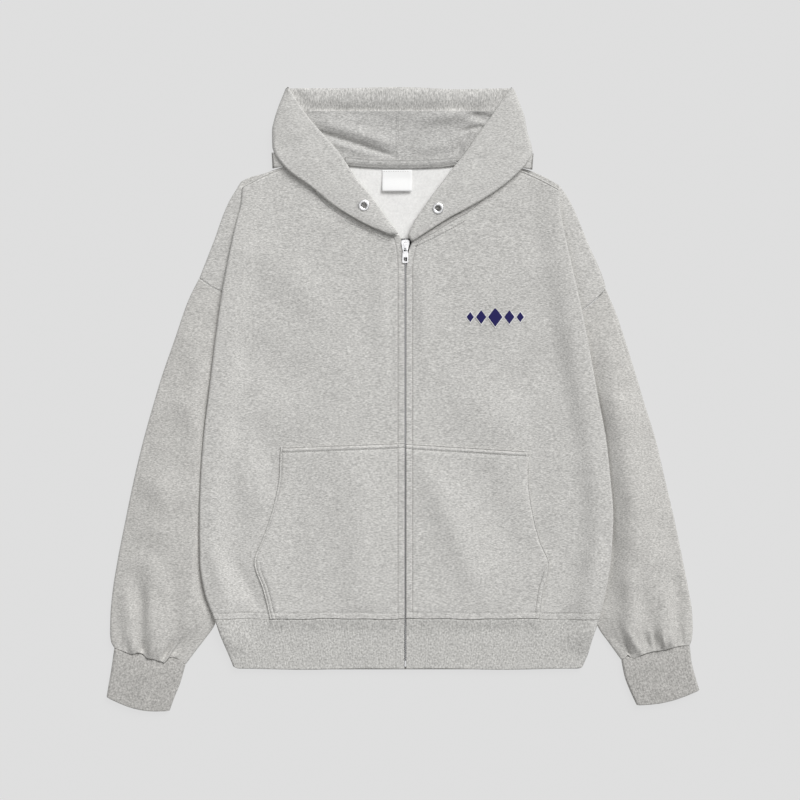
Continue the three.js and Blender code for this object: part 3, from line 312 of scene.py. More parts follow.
# Painted shade: the hood's lower layer takes a much darker copy of the fleece, standing for the shadow
# it lies in.

# Creases pressed into the cloth: from one point to another, how far the middle bows to the left
# of that way, half the width, and the height, which is negative for a trough.
CREASE_COLUMNS = "x0 y0 x1 y1 bow width height"
FRONT_LEFT_CREASES = table(CREASE_COLUMNS, [
    # Painted shade: the sleeves take a darker copy of the body's fleece, standing for the shade on
    # them.
    (-215, 210, -90, 90, 10, 24, 3.0), (-232, 90, -100, 10, -8, 26, -2.4),
    # Painted light: the hood takes a lighter copy of the body's fleece, as if more light fell on it.
    (-40, 80, -175, -50, 12, 28, 2.6), (-245, -30, -170, -170, 10, 20, 2.8),
    (-252, -170, -186, -290, -8, 12, 2.6), (-230, -190, -172, -296, 5, 9, -2.2),
    (-32, 200, -30, 30, 3, 12, 2.0), (-16, 160, -14, -40, 1, 6, -0.9),
    (-58, -30, -62, -320, 4, 26, 4.0), (-126, -40, -142, -300, -6, 26, -2.8),
    (-188, 0, -164, -160, 6, 20, -1.8),
])
FRONT_RIGHT_CREASES = table(CREASE_COLUMNS, [
    (210, 205, 90, 80, -10, 24, 3.0), (226, 80, 100, 0, 8, 26, -2.4),
    (40, 50, 175, -60, -12, 28, 2.6), (250, -40, 180, -185, -10, 20, 2.8),
    (258, -170, 192, -290, 8, 12, 2.6), (236, -190, 176, -296, -5, 9, -2.2),
    (30, 190, 24, 40, -3, 12, 2.0), (17, 150, 16, -50, -1, 6, -0.9),
    (10, -50, 112, -290, 6, 19, 3.8), (64, -40, 160, -240, 6, 22, -2.6),
    (184, 0, 162, -150, -6, 20, -1.8),
])
SLEEVE_LEFT_CREASES = table(CREASE_COLUMNS, [
    (-300, 20, -262, -60, 8, 12, 1.4), (-352, -90, -290, -150, 9, 16, 1.6),
    (-345, -190, -300, -262, 8, 14, 1.4), (-262, 110, -262, -345, 3, 22, 4.0),
    (-342, -205, -333, -350, 3, 9, -3.0), (-320, -215, -321, -356, -3, 8, 2.6),
    (-294, -200, -293, -355, 2, 13, -3.0), (-358, -220, -353, -340, 3, 8, 1.9),
    (-286, -302, -312, -352, -5, 2.4, -5.0), (-334, -300, -338, -350, 1, 2.4, -3.6),
    (-345, -298, -348, -345, 1, 2.8, 1.6), (-311, -300, -314, -352, 1, 2.4, 1.7),
    (-278, -306, -288, -355, 1, 2.6, 1.5), (-360, -290, -363, -336, 1, 2.8, -1.5),
    (-305, -40, -318, -225, 6, 22, 1.6), (-275, 60, -300, -10, 5, 16, -1.2),
    (-336, -306, -339, -348, 1, 2.2, 1.3), (-352, -304, -355, -340, -1, 2.2, -1.2),
])
SLEEVE_RIGHT_CREASES = table(CREASE_COLUMNS, [
    (290, 20, 262, -60, -8, 12, 1.4), (340, -90, 284, -150, -9, 16, 1.6),
    (340, -190, 296, -258, -8, 14, 1.4), (284, -190, 290, -345, 3, 11, 3.0),
    (308, -210, 316, -342, -3, 10, -3.0), (330, -215, 336, -336, 3, 9, 2.3),
    (352, -215, 354, -330, -2, 7, -2.2), (284, -304, 299, -348, -2, 2.4, -5.0),
    (303, -298, 306, -346, 1, 2.6, 1.8), (322, -292, 326, -340, -1, 2.4, -4.2),
    (340, -286, 344, -334, 1, 2.4, 1.5), (356, -284, 358, -330, 1, 2.4, -1.4),
    (300, -40, 312, -225, -6, 22, 1.6), (270, 60, 294, -10, -5, 16, -1.2),
    (331, -292, 334, -336, 1, 2.2, 1.5), (313, -296, 315, -344, -1, 2.2, -1.2),
    (262, 140, 306, -330, 0, 22, 4.5),
])
HOOD_LEFT_CREASES = table(CREASE_COLUMNS, [
    (-150, 372, -96, 300, -6, 9, 0.6), (-140, 340, -70, 262, 5, 6, -0.5),
])
HOOD_RIGHT_CREASES = table(CREASE_COLUMNS, [
    (142, 372, 90, 300, 6, 9, 0.6), (132, 338, 64, 258, -5, 6, -0.5),
])
LINING_LEFT_CREASES = table(CREASE_COLUMNS, [
    (-136, 362, 10, 318, 3, 8, 4.2), (-134, 351, 8, 305, 2, 2.8, -3.6),
    (-124, 340, 4, 296, 2, 4, 1.6), (-104, 392, -60, 374, 2, 5, 0.8),
    (-96, 368, -10, 360, 2, 6, -1.2),
])
LINING_RIGHT_CREASES = table(CREASE_COLUMNS, [
    (60, 312, 90, 354, -3, 2.4, -3.4), (66, 342, 122, 350, 3, 2.4, -3.6),
    (76, 318, 104, 345, -2, 8, 5.0), (76, 366, 132, 350, 4, 5, -4.4),
    (6, 352, 100, 364, 5, 8, 2.6), (10, 314, 66, 330, 3, 7, 2.0),
])

LEFT = {
    "hand": -1, "zip_edge": -ZIP_X + ZIP_GAP, "edge": LEFT_EDGE, "shoulder": LEFT_SHOULDER,
    "armhole": LEFT_ARMHOLE, "lines": LEFT_LINES, "strip": LEFT_STRIP, "sleeve": LEFT_SLEEVE,
    "cuff": LEFT_CUFF, "hem": LEFT_HEM, "hood": LEFT_HOOD, "pocket": LEFT_POCKET,
    "pocket_top": (-54.0, -60.0), "opening_y": -207.0, "eyelet": (2.3, 16.0), "lining_edge": 6.3,
    "front_creases": FRONT_LEFT_CREASES, "sleeve_creases": SLEEVE_LEFT_CREASES,
    "hood_corner": [(158, 318), (167, 317), (148, 300), (166.5, 297)],
    "hood_creases": HOOD_LEFT_CREASES, "lining_creases": LINING_LEFT_CREASES,
    "cuff_seam": LEFT_CUFF_SEAM, "neck_stitch": [(-17, 204), (-24, 206.5), (-42, 215), (-76, 231)],
}
RIGHT = {
    "hand": 1, "zip_edge": ZIP_X + ZIP_GAP, "edge": RIGHT_EDGE, "shoulder": RIGHT_SHOULDER,
    "armhole": RIGHT_ARMHOLE, "lines": RIGHT_LINES, "strip": RIGHT_STRIP, "sleeve": RIGHT_SLEEVE,
    "cuff": RIGHT_CUFF, "hem": RIGHT_HEM, "hood": RIGHT_HOOD, "pocket": RIGHT_POCKET,
    "pocket_top": (-55.0, -65.0), "opening_y": -212.0, "eyelet": (2.25, 16.5), "lining_edge": -6.2,
    "front_creases": FRONT_RIGHT_CREASES, "sleeve_creases": SLEEVE_RIGHT_CREASES,
    "hood_corner": [(157, 317), (166, 316), (148, 298), (165, 295.5)],
    "hood_creases": HOOD_RIGHT_CREASES, "lining_creases": LINING_RIGHT_CREASES,
    "cuff_seam": RIGHT_CUFF_SEAM, "neck_stitch": [(15, 197), (24, 201), (47, 212), (80, 230)],
}
SIDES = (("left", LEFT), ("right", RIGHT))


def ease(value, start, end):
    """Share from 0 to 1 along a smooth step between two values."""
    share = np.clip((np.asarray(value, float) - start) / (end - start), 0, 1)
    return share * share * (3 - 2 * share)


def mix(a, b, share):
    """The value that lies at a share of the way from a to b."""
    return a + (b - a) * share


def read(rows, key, at):
    """One column of a table at any place between its rows, on a curve that never overshoots."""
    places, values = rows["at"], rows[key]
    slopes = np.diff(values) / np.diff(places)
    before, after = slopes[:-1], slopes[1:]
    same = before * after > 0
    inner = np.where(same, 2 * before * after / np.where(same, before + after, 1), 0)
    tangents = np.concatenate([slopes[:1], inner, slopes[-1:]])
    at = np.clip(at, places[0], places[-1])
    i = np.clip(np.searchsorted(places, at, side="right") - 1, 0, len(places) - 2)
    run = places[i + 1] - places[i]
    f = (at - places[i]) / run
    g = 1 - f
    start = values[i] * (1 + 2 * f) * g * g
    end = values[i + 1] * (1 + 2 * g) * f * f
    return start + end + run * f * g * (g * tangents[i] - f * tangents[i + 1])


def spread(width, near_start, count, near_end):
    """Places across each width: fixed ones from the start, even ones, fixed ones from the end."""
    width = np.atleast_1d(np.asarray(width, float))[:, None]
    start = np.array(near_start, float) + 0 * width
    end = width - np.array(near_end, float)[::-1]
    share = (np.arange(count) + 1) / (count + 1)
    return np.hstack([start, mix(start[:, -1:], end[:, :1], share), end])


def evenly(rows, key, gap, near=()):
    """Places down a table whose column steps by about gap, closer together near some values."""
    at = np.linspace(rows["at"][0], rows["at"][-1], 4000)
    value = read(rows, key, at)
    length = np.concatenate([[0], np.cumsum(np.abs(np.diff(value)))])
    wanted = list(np.linspace(0, length[-1], max(2, round(length[-1] / gap) + 1)))
    for place in near:
        middle = length[np.argmin(np.abs(value - place))]
        wanted += [middle + step for step in (-2.4, -1.6, -0.9, -0.4, 0, 0.4, 0.9, 1.6, 2.4)]
    wanted = np.unique(np.clip(np.round(wanted, 2), 0, length[-1]))
    return np.interp(wanted, length, at)


def swell(value, middle, width):
    """1 at the middle, falling off smoothly to both sides."""
    return np.exp(-(((value - middle) / width) ** 2))


def groove(distance, at, width, depth):
    """A rounded channel along a seam or a stitch line."""
    return -depth * swell(distance, at, width)


def edge_round(distance, radius=1.2):
    """How far the face falls away at a cut or turned edge."""
    f = 1 - np.clip(distance, 0, radius) / radius
    return -radius * (1 - np.sqrt(np.clip(1 - f * f, 0, 1)))


def crease_height(x, y, marks):
    """Height that a table of creases adds at each point."""
    lift = np.zeros(np.broadcast(x, y).shape)
    for i in range(len(marks["x0"])):
        x0, y0, x1, y1, bow, width, height = (marks[key][i] for key in CREASE_COLUMNS.split())
        length = math.hypot(x1 - x0, y1 - y0)
        ux, uy = (x1 - x0) / length, (y1 - y0) / length
        along = ((x - x0) * ux + (y - y0) * uy) / length
        bend = bow * np.sin(np.pi * np.clip(along, 0, 1))
        aside = (y - y0) * ux - (x - x0) * uy - bend
        fade = ease(along, 0, 0.35) * (1 - ease(along, 0.65, 1))
        lift += height * fade * swell(aside, 0, width)
    return lift


def relief(x, y, marks, size, height, seed):
    """Creases and unevenness of a face, as strong as the panel says."""
    lift = crease_height(x, y, marks) + ripple(x, y, size, height, seed)
    return lift * bpy.context.scene.hoodie_sizes.crease_strength


def ripple(x, y, size, height, seed):
    """Gentle unevenness of cloth that lies by itself: a few long waves, the same ones each time."""
    chance = np.random.default_rng(seed)
    lift = np.zeros(np.broadcast(x, y).shape)
    for _ in range(7):
        angle = chance.uniform(0, math.pi)
        wave = chance.uniform(0.7, 1.8) * size
        start = chance.uniform(0, 2 * math.pi)
        phase = (x * math.cos(angle) + y * math.sin(angle)) * 2 * math.pi / wave + start
        lift += height / 3 * np.sin(phase)
    return lift


def steps_along(points, ring, axis):
    """Direction of each line of points, that of a parabola through the points at its ends."""
    p = np.moveaxis(points, axis, 0)
    if ring:
        return np.moveaxis(np.roll(p, -1, 0) - np.roll(p, 1, 0), 0, axis)
    out = np.empty_like(p)
    out[1:-1] = p[2:] - p[:-2]
    for i, (a, b, c) in ((0, (0, 1, 2)), (-1, (-1, -2, -3))):
        near = np.linalg.norm(p[b] - p[a], axis=-1, keepdims=True) + 1e-9
        far = np.linalg.norm(p[c] - p[b], axis=-1, keepdims=True) + 1e-9
        first, second = (p[b] - p[a]) / near, (p[c] - p[b]) / far
        end = first + (first - second) * near / (near + far)
        out[i] = end if i == 0 else -end
    return np.moveaxis(out, 0, axis)


def normals_of(points, side, ring):
    """Which way the face looks at each of its points."""
    cross = np.cross(steps_along(points, False, 0), steps_along(points, ring, 1))
    return side * cross / (np.linalg.norm(cross, axis=-1, keepdims=True) + 1e-12)


def shell(points, thickness, side, ring=False, detail=None):
    """Vertices and faces of a closed wall of cloth from the points of its face.

    The face looks along row direction x column direction times side, and the wall lies behind
    it. Detail moves the face alone in or out. With ring the rows close on themselves.
    """
    normal = normals_of(points, side, ring)
    back = points - normal * thickness
    face = points if detail is None else points + normal * detail[..., None]
    n, m = points.shape[:2]
    vertices = np.concatenate([face.reshape(-1, 3), back.reshape(-1, 3)])
    columns = m if ring else m - 1
    i, j = np.meshgrid(np.arange(n - 1), np.arange(columns), indexing="ij")
    a = (i * m + j).ravel()
    b = ((i + 1) * m + j).ravel()
    c = ((i + 1) * m + (j + 1) % m).ravel()
    d = (i * m + (j + 1) % m).ravel()
    behind = n * m
    quads = [np.stack([a, b, c, d], 1), np.stack([a, d, c, b], 1) + behind]
    j = np.arange(columns)
    for row, way in ((0, 1), (n - 1, -1)):
        p, q = row * m + j, row * m + (j + 1) % m
        rim = np.stack([p, q, q + behind, p + behind], 1)
        quads.append(rim[:, ::way])
    if not ring:
        i = np.arange(n - 1)
        for column, way in ((0, -1), (m - 1, 1)):
            p, q = i * m + column, (i + 1) * m + column
            rim = np.stack([p, q, q + behind, p + behind], 1)
            quads.append(rim[:, ::way])
    faces = np.concatenate(quads)
    return vertices, faces if side > 0 else faces[:, ::-1]


def placed(part, points):
    """Points worked out in outward distances, turned to their own side of the garment."""
    return points * np.array([part["hand"], 1, 1])


def handed(part, points, thickness, side, ring=False, detail=None):
    """A wall of cloth from points in outward distances, on its own side of the garment."""
    return shell(placed(part, points), thickness, side * part["hand"], ring, detail)


def joined(parts):
    """Several lots of vertices and faces as one."""
    vertices, faces, count = [], [], 0
    for points, quads in parts:
        vertices.append(points)
        faces.append(np.asarray(quads) + count)
        count += len(points)
    return np.concatenate(vertices), np.concatenate(faces)


def add_object(name, mesh_parts, materials, smooth=True, choose=None):
    """An object from vertices in millimetres and faces of four corners.

    With several materials, choose gives each face's number from its middle points.
    """
    vertices, faces = mesh_parts
    mesh = bpy.data.meshes.new(name)
    corners = [face[:3] if face[2] == face[3] else face for face in np.asarray(faces).tolist()]
    mesh.from_pydata((vertices * MM).tolist(), [], corners)
    mesh.update()
    for material in materials:
        mesh.materials.append(material)
    if choose is not None:
        middles = vertices[faces].mean(axis=1)
        mesh.polygons.foreach_set("material_index", choose(middles).astype(np.int32))
    mesh.polygons.foreach_set("use_smooth", np.full(len(faces), smooth))
    mesh.validate()
    made = bpy.data.objects.new(name, mesh)
    bpy.context.scene.collection.objects.link(made)
    return made


def stand_for(made, node):
    """Ride on the garment and, where a node is named, take the place of that plain solid."""
    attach(made, BODY)
    if node:
        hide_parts(node)


def stitches(path, pitch, length, width, height):
    """A row of stitches along a line of points: each a small bar of thread with pointed ends."""
    path = np.asarray(path, float)
    walked = np.concatenate([[0], np.cumsum(np.linalg.norm(np.diff(path, axis=0), axis=1))])
    middles = np.arange(pitch / 2, walked[-1] - pitch / 2, pitch)

    def at(distance):
        return np.stack([np.interp(distance, walked, path[:, k]) for k in range(3)], 1)

    start, end = at(middles - length / 2), at(middles + length / 2)
    along = end - start
    along /= np.linalg.norm(along, axis=1, keepdims=True) + 1e-9
    up = np.array([0.0, 0.0, 1.0])
    across = np.cross(along, up)
    across /= np.linalg.norm(across, axis=1, keepdims=True) + 1e-9
    down = up * STITCH_SINK
    rings = []
    for share, size in ((0.18, 0.8), (0.82, 0.8)):
        middle = mix(start, end, share) - down
        for turn in (0, 90, 180, 270):
            a = math.radians(turn)
            side = across * math.cos(a) * width / 2 * size
            rings.append(middle + side + up * math.sin(a) * height * size)
    vertices = np.stack([start - down, *rings, end - down], 1)
    faces = []
    for k in range(4):
        n = (k + 1) % 4
        faces += [(0, 1 + k, 1 + n, 1 + n), (1 + k, 5 + k, 5 + n, 1 + n), (9, 5 + n, 5 + k, 5 + k)]
    faces = np.array(faces)
    all_faces = (faces[None] + np.arange(len(middles))[:, None, None] * 10).reshape(-1, 4)
    return vertices.reshape(-1, 3), all_faces


def edge_lift(y):
    """How far the body's side edge is lifted by the sleeve under it."""
    return FOLD_UNDER * ease(y, ARMPIT_Y, LIFTED_Y) * ease(y, *HEM_DROP)


def hem_wave(x, y):
    """How far the cloth on both sides of the hem's seam shifts, as the seam wanders a little."""
    near = 1 - ease(np.abs(y - HEM_SEAM_Y), 0, 24)
    return near * (0.45 * np.sin(x / 8.3 + 1) + 0.6 * np.sin(x / 19.0))


def side_seam(part, y):
    """How far out the side seam lies, and above the armpit the back's armhole seam."""
    low = read(part["edge"], "out", y) - SEAM_INSET
    return np.where(np.asarray(y) <= LOW_ARMHOLE_Y, low, read(part["armhole"], "out", y))


def arc(first, last):
    """Angles round a fold in steps of 15 degrees, in radians."""
    count = round(abs(last - first) / 15)
    return np.radians(np.linspace(first, last, count + 1))


# Distances from a front's inner edge, where its stitch lines run, and in from its fold.
NEAR_EDGE = [0, 0.3, 0.7, 1.2, 2, 3, 4.5, 6, 7, 7.5, 8, 8.5, 9, 9.5, 10, 10.6, 12, 14]
NEAR_FOLD = [ROLL, 4.4, 6, 8, 10.5, 13.5, 17, 21, 26, 31, 38, 45]
FOLD_REACH = 45.0


def front_relief(part, x, y):
    """How far the front's face stands off its plain level, by its creases and unevenness."""
    out = x - part["zip_edge"]
    clear = ease(out, 3, 22) * ease(y, HEM_SEAM_Y + 3, HEM_SEAM_Y + 22)
    return clear * relief(x * part["hand"], y, part["front_creases"], 120, 0.35, 11)


def front_top(edge_y, inward, at):
    """Plain level of a front's face, which is higher over the fold at its side."""
    under = np.where(edge_y > LIFTED_Y, FOLD_UNDER, edge_lift(edge_y))
    fold_top = np.maximum(FRONT_TOP, under + 2 * ROLL) - FOLD_FADE * ease(edge_y, 185, 268)
    flat = mix(FRONT_TOP, SHOULDER_TOP, ease(at, 14.5, 17))
    full = swell(inward, *SIDE_SWELL) * ease(edge_y, 190, 60) * ease(edge_y, -300, -250)
    return mix(fold_top, flat, ease(inward, 4, FOLD_REACH)) + SIDE_FULLNESS * full


def front_face(part):
    """Upper layer of a front, the rolled fold at its side edge and the layer turned under."""
    lines = part["lines"]
    start_y = lines["y"][0]
    top_y = lines["y"][-1]
    seams = (start_y, start_y + HEM_STITCH, top_y - SHOULDER_STITCH, top_y)
    at = evenly(lines, "y", 4.2, near=seams)
    edge_y = read(lines, "edge_y", at)[:, None]
    inner = np.stack([read(lines, "out", at), read(lines, "y", at)], 1)
    edge = np.stack([read(part["edge"], "out", edge_y[:, 0]), edge_y[:, 0]], 1)
    across = edge - inner
    width = np.linalg.norm(across, axis=1)[:, None]
    across /= width
    far = spread(width[:, 0], NEAR_EDGE, 50, NEAR_FOLD)
    top = front_top(edge_y, width - far, at[:, None])
    turn = arc(75, -90)
    rolled = ROLL - ROLL * np.cos(turn)[None, :] + 0 * width
    middle = top[:, -1:] - ROLL
    roll_top = middle + ROLL * np.sin(turn)[None, :]
    below = edge[:, :1] - side_seam(part, edge_y) - SEAM - 0.1
    turned = np.where(edge_y > -30, TURNED_UNDER, below)
    inward = np.hstack([width - far, rolled, mix(ROLL, turned, 0.5), turned])
    z = np.hstack([top, roll_top, middle - ROLL, middle - ROLL])
    share = 1 - inward / width
    x = inner[:, :1] + across[:, :1] * (width - inward)
    y = inner[:, 1:] + across[:, 1:] * (width - inward)
    y = y + read(lines, "bow", at)[:, None] * np.sin(np.pi * share)
    flat = ease(inward, ROLL + 1, 14)
    z = z + front_relief(part, x, y) * flat
    y = y + hem_wave(x * part["hand"], y)
    from_hem = (inner[:, 1] - inner[0, 1])[:, None]
    from_top = (inner[-1, 1] - inner[:, 1])[:, None]
    from_zip = width - inward
    placket = PLACKET_STITCH[part["hand"]]
    detail = edge_round(from_zip, 0.7) + 0.6 * edge_round(from_hem, 0.9)
    detail = detail + edge_round(from_top, 1.6) + groove(from_top, SHOULDER_STITCH, STITCH_WIDTH, 0.8)
    detail = detail + groove(from_zip, placket, STITCH_WIDTH, 0.7) * flat
    detail = detail + groove(from_hem, HEM_STITCH, STITCH_WIDTH, 0.5)
    return np.stack([x, y, z], -1), np.maximum(detail, DEEPEST)


def strip_face(part):
    """The part of a front that lies outside its fold, out to the dropped shoulder's outline."""
    rows = part["strip"]
    at = evenly(rows, "out_y", 4, near=(rows["out_y"][0],))[:, None]
    f = np.array([0, 0.1, 0.2, 0.3, 0.4, 0.5, 0.6, 0.7, 0.8, 0.88, 0.94, 0.97, 1])[None, :]
    x = mix(read(rows, "in_x", at), read(rows, "out_x", at), f)
    y = mix(read(rows, "in_y", at), read(rows, "out_y", at), f)
    y = y + read(rows, "bow", at) * np.sin(np.pi * f)
    low = 2 * FLEECE + SEAM
    z = low + (STRIP_TOP - low) * ease(f, 0, 0.45) * (1 - ease(f, 0.5, 1))
    length = np.hypot(read(rows, "in_x", at) - read(rows, "out_x", at), 20)
    detail = edge_round((1 - f) * length, 2) + edge_round((at - rows["at"][0]) * 24, 1.4)
    return np.stack([x, y, z + 0 * x], -1), np.maximum(detail, DEEPEST)


def back_face():
    """Underside of the back: flat on the surface, its side edges lifted over the sleeves."""
    low = np.arange(-280.3, 115, 7.0)
    high = np.arange(115.7, 262, 3.7)
    ys = np.concatenate([low, high])

    def edge_out(part, y):
        seam_top = part["armhole"]["at"][-1]
        return np.where(y <= seam_top, side_seam(part, y), read(part["shoulder"], "out", y))

    left, right = edge_out(LEFT, ys), edge_out(RIGHT, ys)
    steps = np.array([0, 1, 2.5, 4, 6, 8.5, 11, 13.5, 16, 18.5, 21, 26, 40, 60, 90, 130])
    halves = []
    for part, out in ((LEFT, left), (RIGHT, right)):
        reach = out[:, None] - steps
        inward = read(part["edge"], "out", ys)[:, None] - reach
        z = edge_lift(ys)[:, None] * (1 - ease(inward, *LIFT_FADE))
        halves.append(np.stack([reach * part["hand"], ys[:, None] + 0 * reach, z], -1))
    left_half, right_half = halves
    share = np.linspace(0, 1, 32)[1:-1][None, :, None]
    between = mix(left_half[:, -1:], right_half[:, -1:], share)
    body = np.concatenate([left_half, between, right_half[:, ::-1]], axis=1)
    columns = body.shape[1]
    tops = np.interp(np.arange(columns) / (columns - 1), np.linspace(0, 1, 200),
                     np.linspace(BACK_TOP["at"][0], BACK_TOP["at"][-1], 200))
    top = np.stack([tops, read(BACK_TOP, "y", tops), 0 * tops], -1)
    even = np.linspace(0, 1, 12)[1:, None, None]
    shoulder = mix(body[-1:], top[None], 0.4 * ease(even, 0, 1) + 0.6 * even)
    return np.concatenate([body, shoulder], axis=0)


def gathers(at, along):
    """Uneven pleats of the sleeve's face where it is gathered into the cuff."""
    strength = ease(at, 9.6, 12.4) * (1 - 0.6 * ease(at, 12.5, 13))
    strength = strength * bpy.context.scene.hoodie_sizes.gather_depth / MM
    wave = np.sin(along * math.pi * 9) + 0.55 * np.sin(along * math.pi * 15.3 + 1.1)
    wave = wave + 0.4 * np.sin(along * math.pi * 5.7 + 2)
    return strength * 0.62 * wave * np.sin(along * math.pi)


def sleeve_face(part):
    """A sleeve lying flat: its layers, the rolled outer edge and the underarm fold."""
    rows = part["sleeve"]
    at = evenly(rows, "out_y", 4, near=(rows["out_y"][0], rows["out_y"][-1]))
    value = {key: read(rows, key, at)[:, None] for key in rows}
    roll, closed = value["roll"], value["closed"]
    near = mix(roll, UNDERARM_ROLL, closed)
    follow = ease(at, 11, 13)[:, None]
    top_width = np.hypot(value["out_x"] - value["top_x"], value["out_y"] - value["top_y"])
    low_width = np.hypot(value["out_x"] - value["low_x"], value["out_y"] - value["low_y"])
    ones = np.ones_like(roll)

    def place(end, inward, z):
        width = top_width if end == "top" else low_width
        f = inward / width
        x = mix(value[end + "_x"], value["out_x"], f)
        y = mix(value[end + "_y"], value["out_y"], f)
        y = y + value["bow"] * np.sin(np.pi * np.minimum(1, f))
        y = y + follow * read(part["cuff_seam"], "rise", f)
        return np.stack([x, y, z + 0 * x], -1)

    first = arc(180, 105)[None, :] * ones
    rise = near + near * np.sin(first)
    rise[:, :1] += SLIT
    start = place("top", near + near * np.cos(first), mix(SLEEVE_HEAD_TOP, rise, closed))

    f = np.linspace(0, 1, 57)[None, :] * ones
    inward = mix(near, top_width - roll, f)
    level = mix(mix(SLEEVE_HEAD_TOP, 2 * near, closed), 2 * roll, ease(f, 0, 0.4))
    crown = LOFT * value["crown"] * np.sin(np.pi * f)
    top = place("top", inward, level + crown + gathers(at[:, None], f))
    clear = ease(f, 0.05, 0.16) * (1 - ease(f, 0.92, 1))
    clear = clear * ease(at[:, None], 0.2, 1.5) * (1 - 0.8 * ease(at[:, None], 12.5, 13))
    creased = relief(top[..., 0] * part["hand"], top[..., 1], part["sleeve_creases"], 70, 0.4, 5)
    top[..., 2] += SLEEVE_DEPTH * creased * clear

    upper = arc(75, 0)[None, :] * ones
    outer_top = place("top", top_width - roll + roll * np.cos(upper), roll + roll * np.sin(upper))
    lower = arc(-15, -90)[None, :] * ones
    outer_low = place("low", low_width - roll + roll * np.cos(lower), roll + roll * np.sin(lower))
    f = np.linspace(0, 1, 16)[1:][None, :] * ones
    under = place("low", mix(low_width - roll, near, f), 0 * f)
    last = arc(255, 180)[None, :] * ones
    rise = near + near * np.sin(last)
    rise[:, -1:] -= SLIT
    end = place("low", near + near * np.cos(last), rise * closed)
    points = np.concatenate([start, top, outer_top, outer_low, under, end], axis=1)
    along = np.abs(value["out_y"] - value["out_y"][0])
    detail = edge_round(along, 1.4) + 0.6 * edge_round(along[-1] - along, 0.9)
    return points, detail + 0 * points[..., 0]


def resampled(points, count, ring):
    """Each row of points as count points evenly spaced along it."""
    rows = []
    for row in points:
        line = np.vstack([row, row[:1]]) if ring else row
        walked = np.concatenate([[0], np.cumsum(np.linalg.norm(np.diff(line, axis=0), axis=1))])
        wanted = np.linspace(0, walked[-1], count + 1 if ring else count)
        wanted = wanted[:-1] if ring else wanted
        rows.append(np.stack([np.interp(wanted, walked, line[:, k]) for k in range(3)], 1))
    return np.array(rows)


def ribbed(rows, measured, ring):
    """Rows of points spaced four to a rib, the channels between ribs and the length around.

    The ribs are counted along the row whose number is measured.
    """
    sizes = bpy.context.scene.hoodie_sizes
    around = np.linalg.norm(np.diff(rows[measured], axis=0), axis=1).sum()
    ribs = round(around / (sizes.rib_pitch / MM))
    count = ribs * 4
    phase = np.arange(count) / count * ribs * 2 * math.pi
    channels = -(sizes.rib_depth / MM) * (0.5 + 0.5 * np.cos(phase)) ** 2
    return resampled(rows, count, ring), channels[None, :], around


def cuff_face(part):
    """A ribbed cuff lying flat: two layers that meet in rolled edges."""
    rows = part["cuff"]
    at = np.unique(np.concatenate([np.linspace(0, 3, 22), [0.02, 0.05, 0.1, 2.9, 2.95, 2.98]]))
    value = {key: read(rows, key, at)[:, None] for key in rows}
    roll = value["roll"]
    width = np.hypot(value["out_x"] - value["in_x"], value["out_y"] - value["in_y"])
    follow = 1 - ease(at[:, None], 0, 1.6)
    ones = np.ones_like(roll)

    def place(inward, z):
        f = inward / width
        x = mix(value["in_x"], value["out_x"], f)
        y = mix(value["in_y"], value["out_y"], f) + value["bow"] * np.sin(np.pi * f)
        y = y + follow * read(part["cuff_seam"], "rise", f)
        return np.stack([x, y, z + 0 * x], -1)

    inner = arc(180, 90)[None, :] * ones
    outer = arc(90, -90)[None, :] * ones
    last = arc(270, 195)[None, :] * ones
    f = np.linspace(0, 1, 20)[1:-1][None, :] * ones
    pull = 1 - ease(at[:, None], 0, 0.6)
    pleats = 0.5 * pull * np.sin(f * math.pi * 11) * np.sin(f * math.pi)
    pleats = pleats - 1.3 * pull * np.sqrt(np.sin(f * math.pi))
    points = np.concatenate([
        place(roll + roll * np.cos(inner), roll + roll * np.sin(inner)),
        place(mix(roll, width - roll, f), 2 * roll + 0.4 * np.sin(np.pi * f) + pleats),
        place(width - roll + roll * np.cos(outer), roll + roll * np.sin(outer)),
        place(mix(width - roll, roll, f), 0 * f),
        place(roll + roll * np.cos(last), roll + roll * np.sin(last)),
    ], axis=1)
    points, channels, _ = ribbed(points, 1, True)
    ends = 0.6 * edge_round((at - at[0])[:, None] * 20, 0.9)
    ends = ends + edge_round((at[-1] - at)[:, None] * 20, 1.3)
    return points, ends + channels


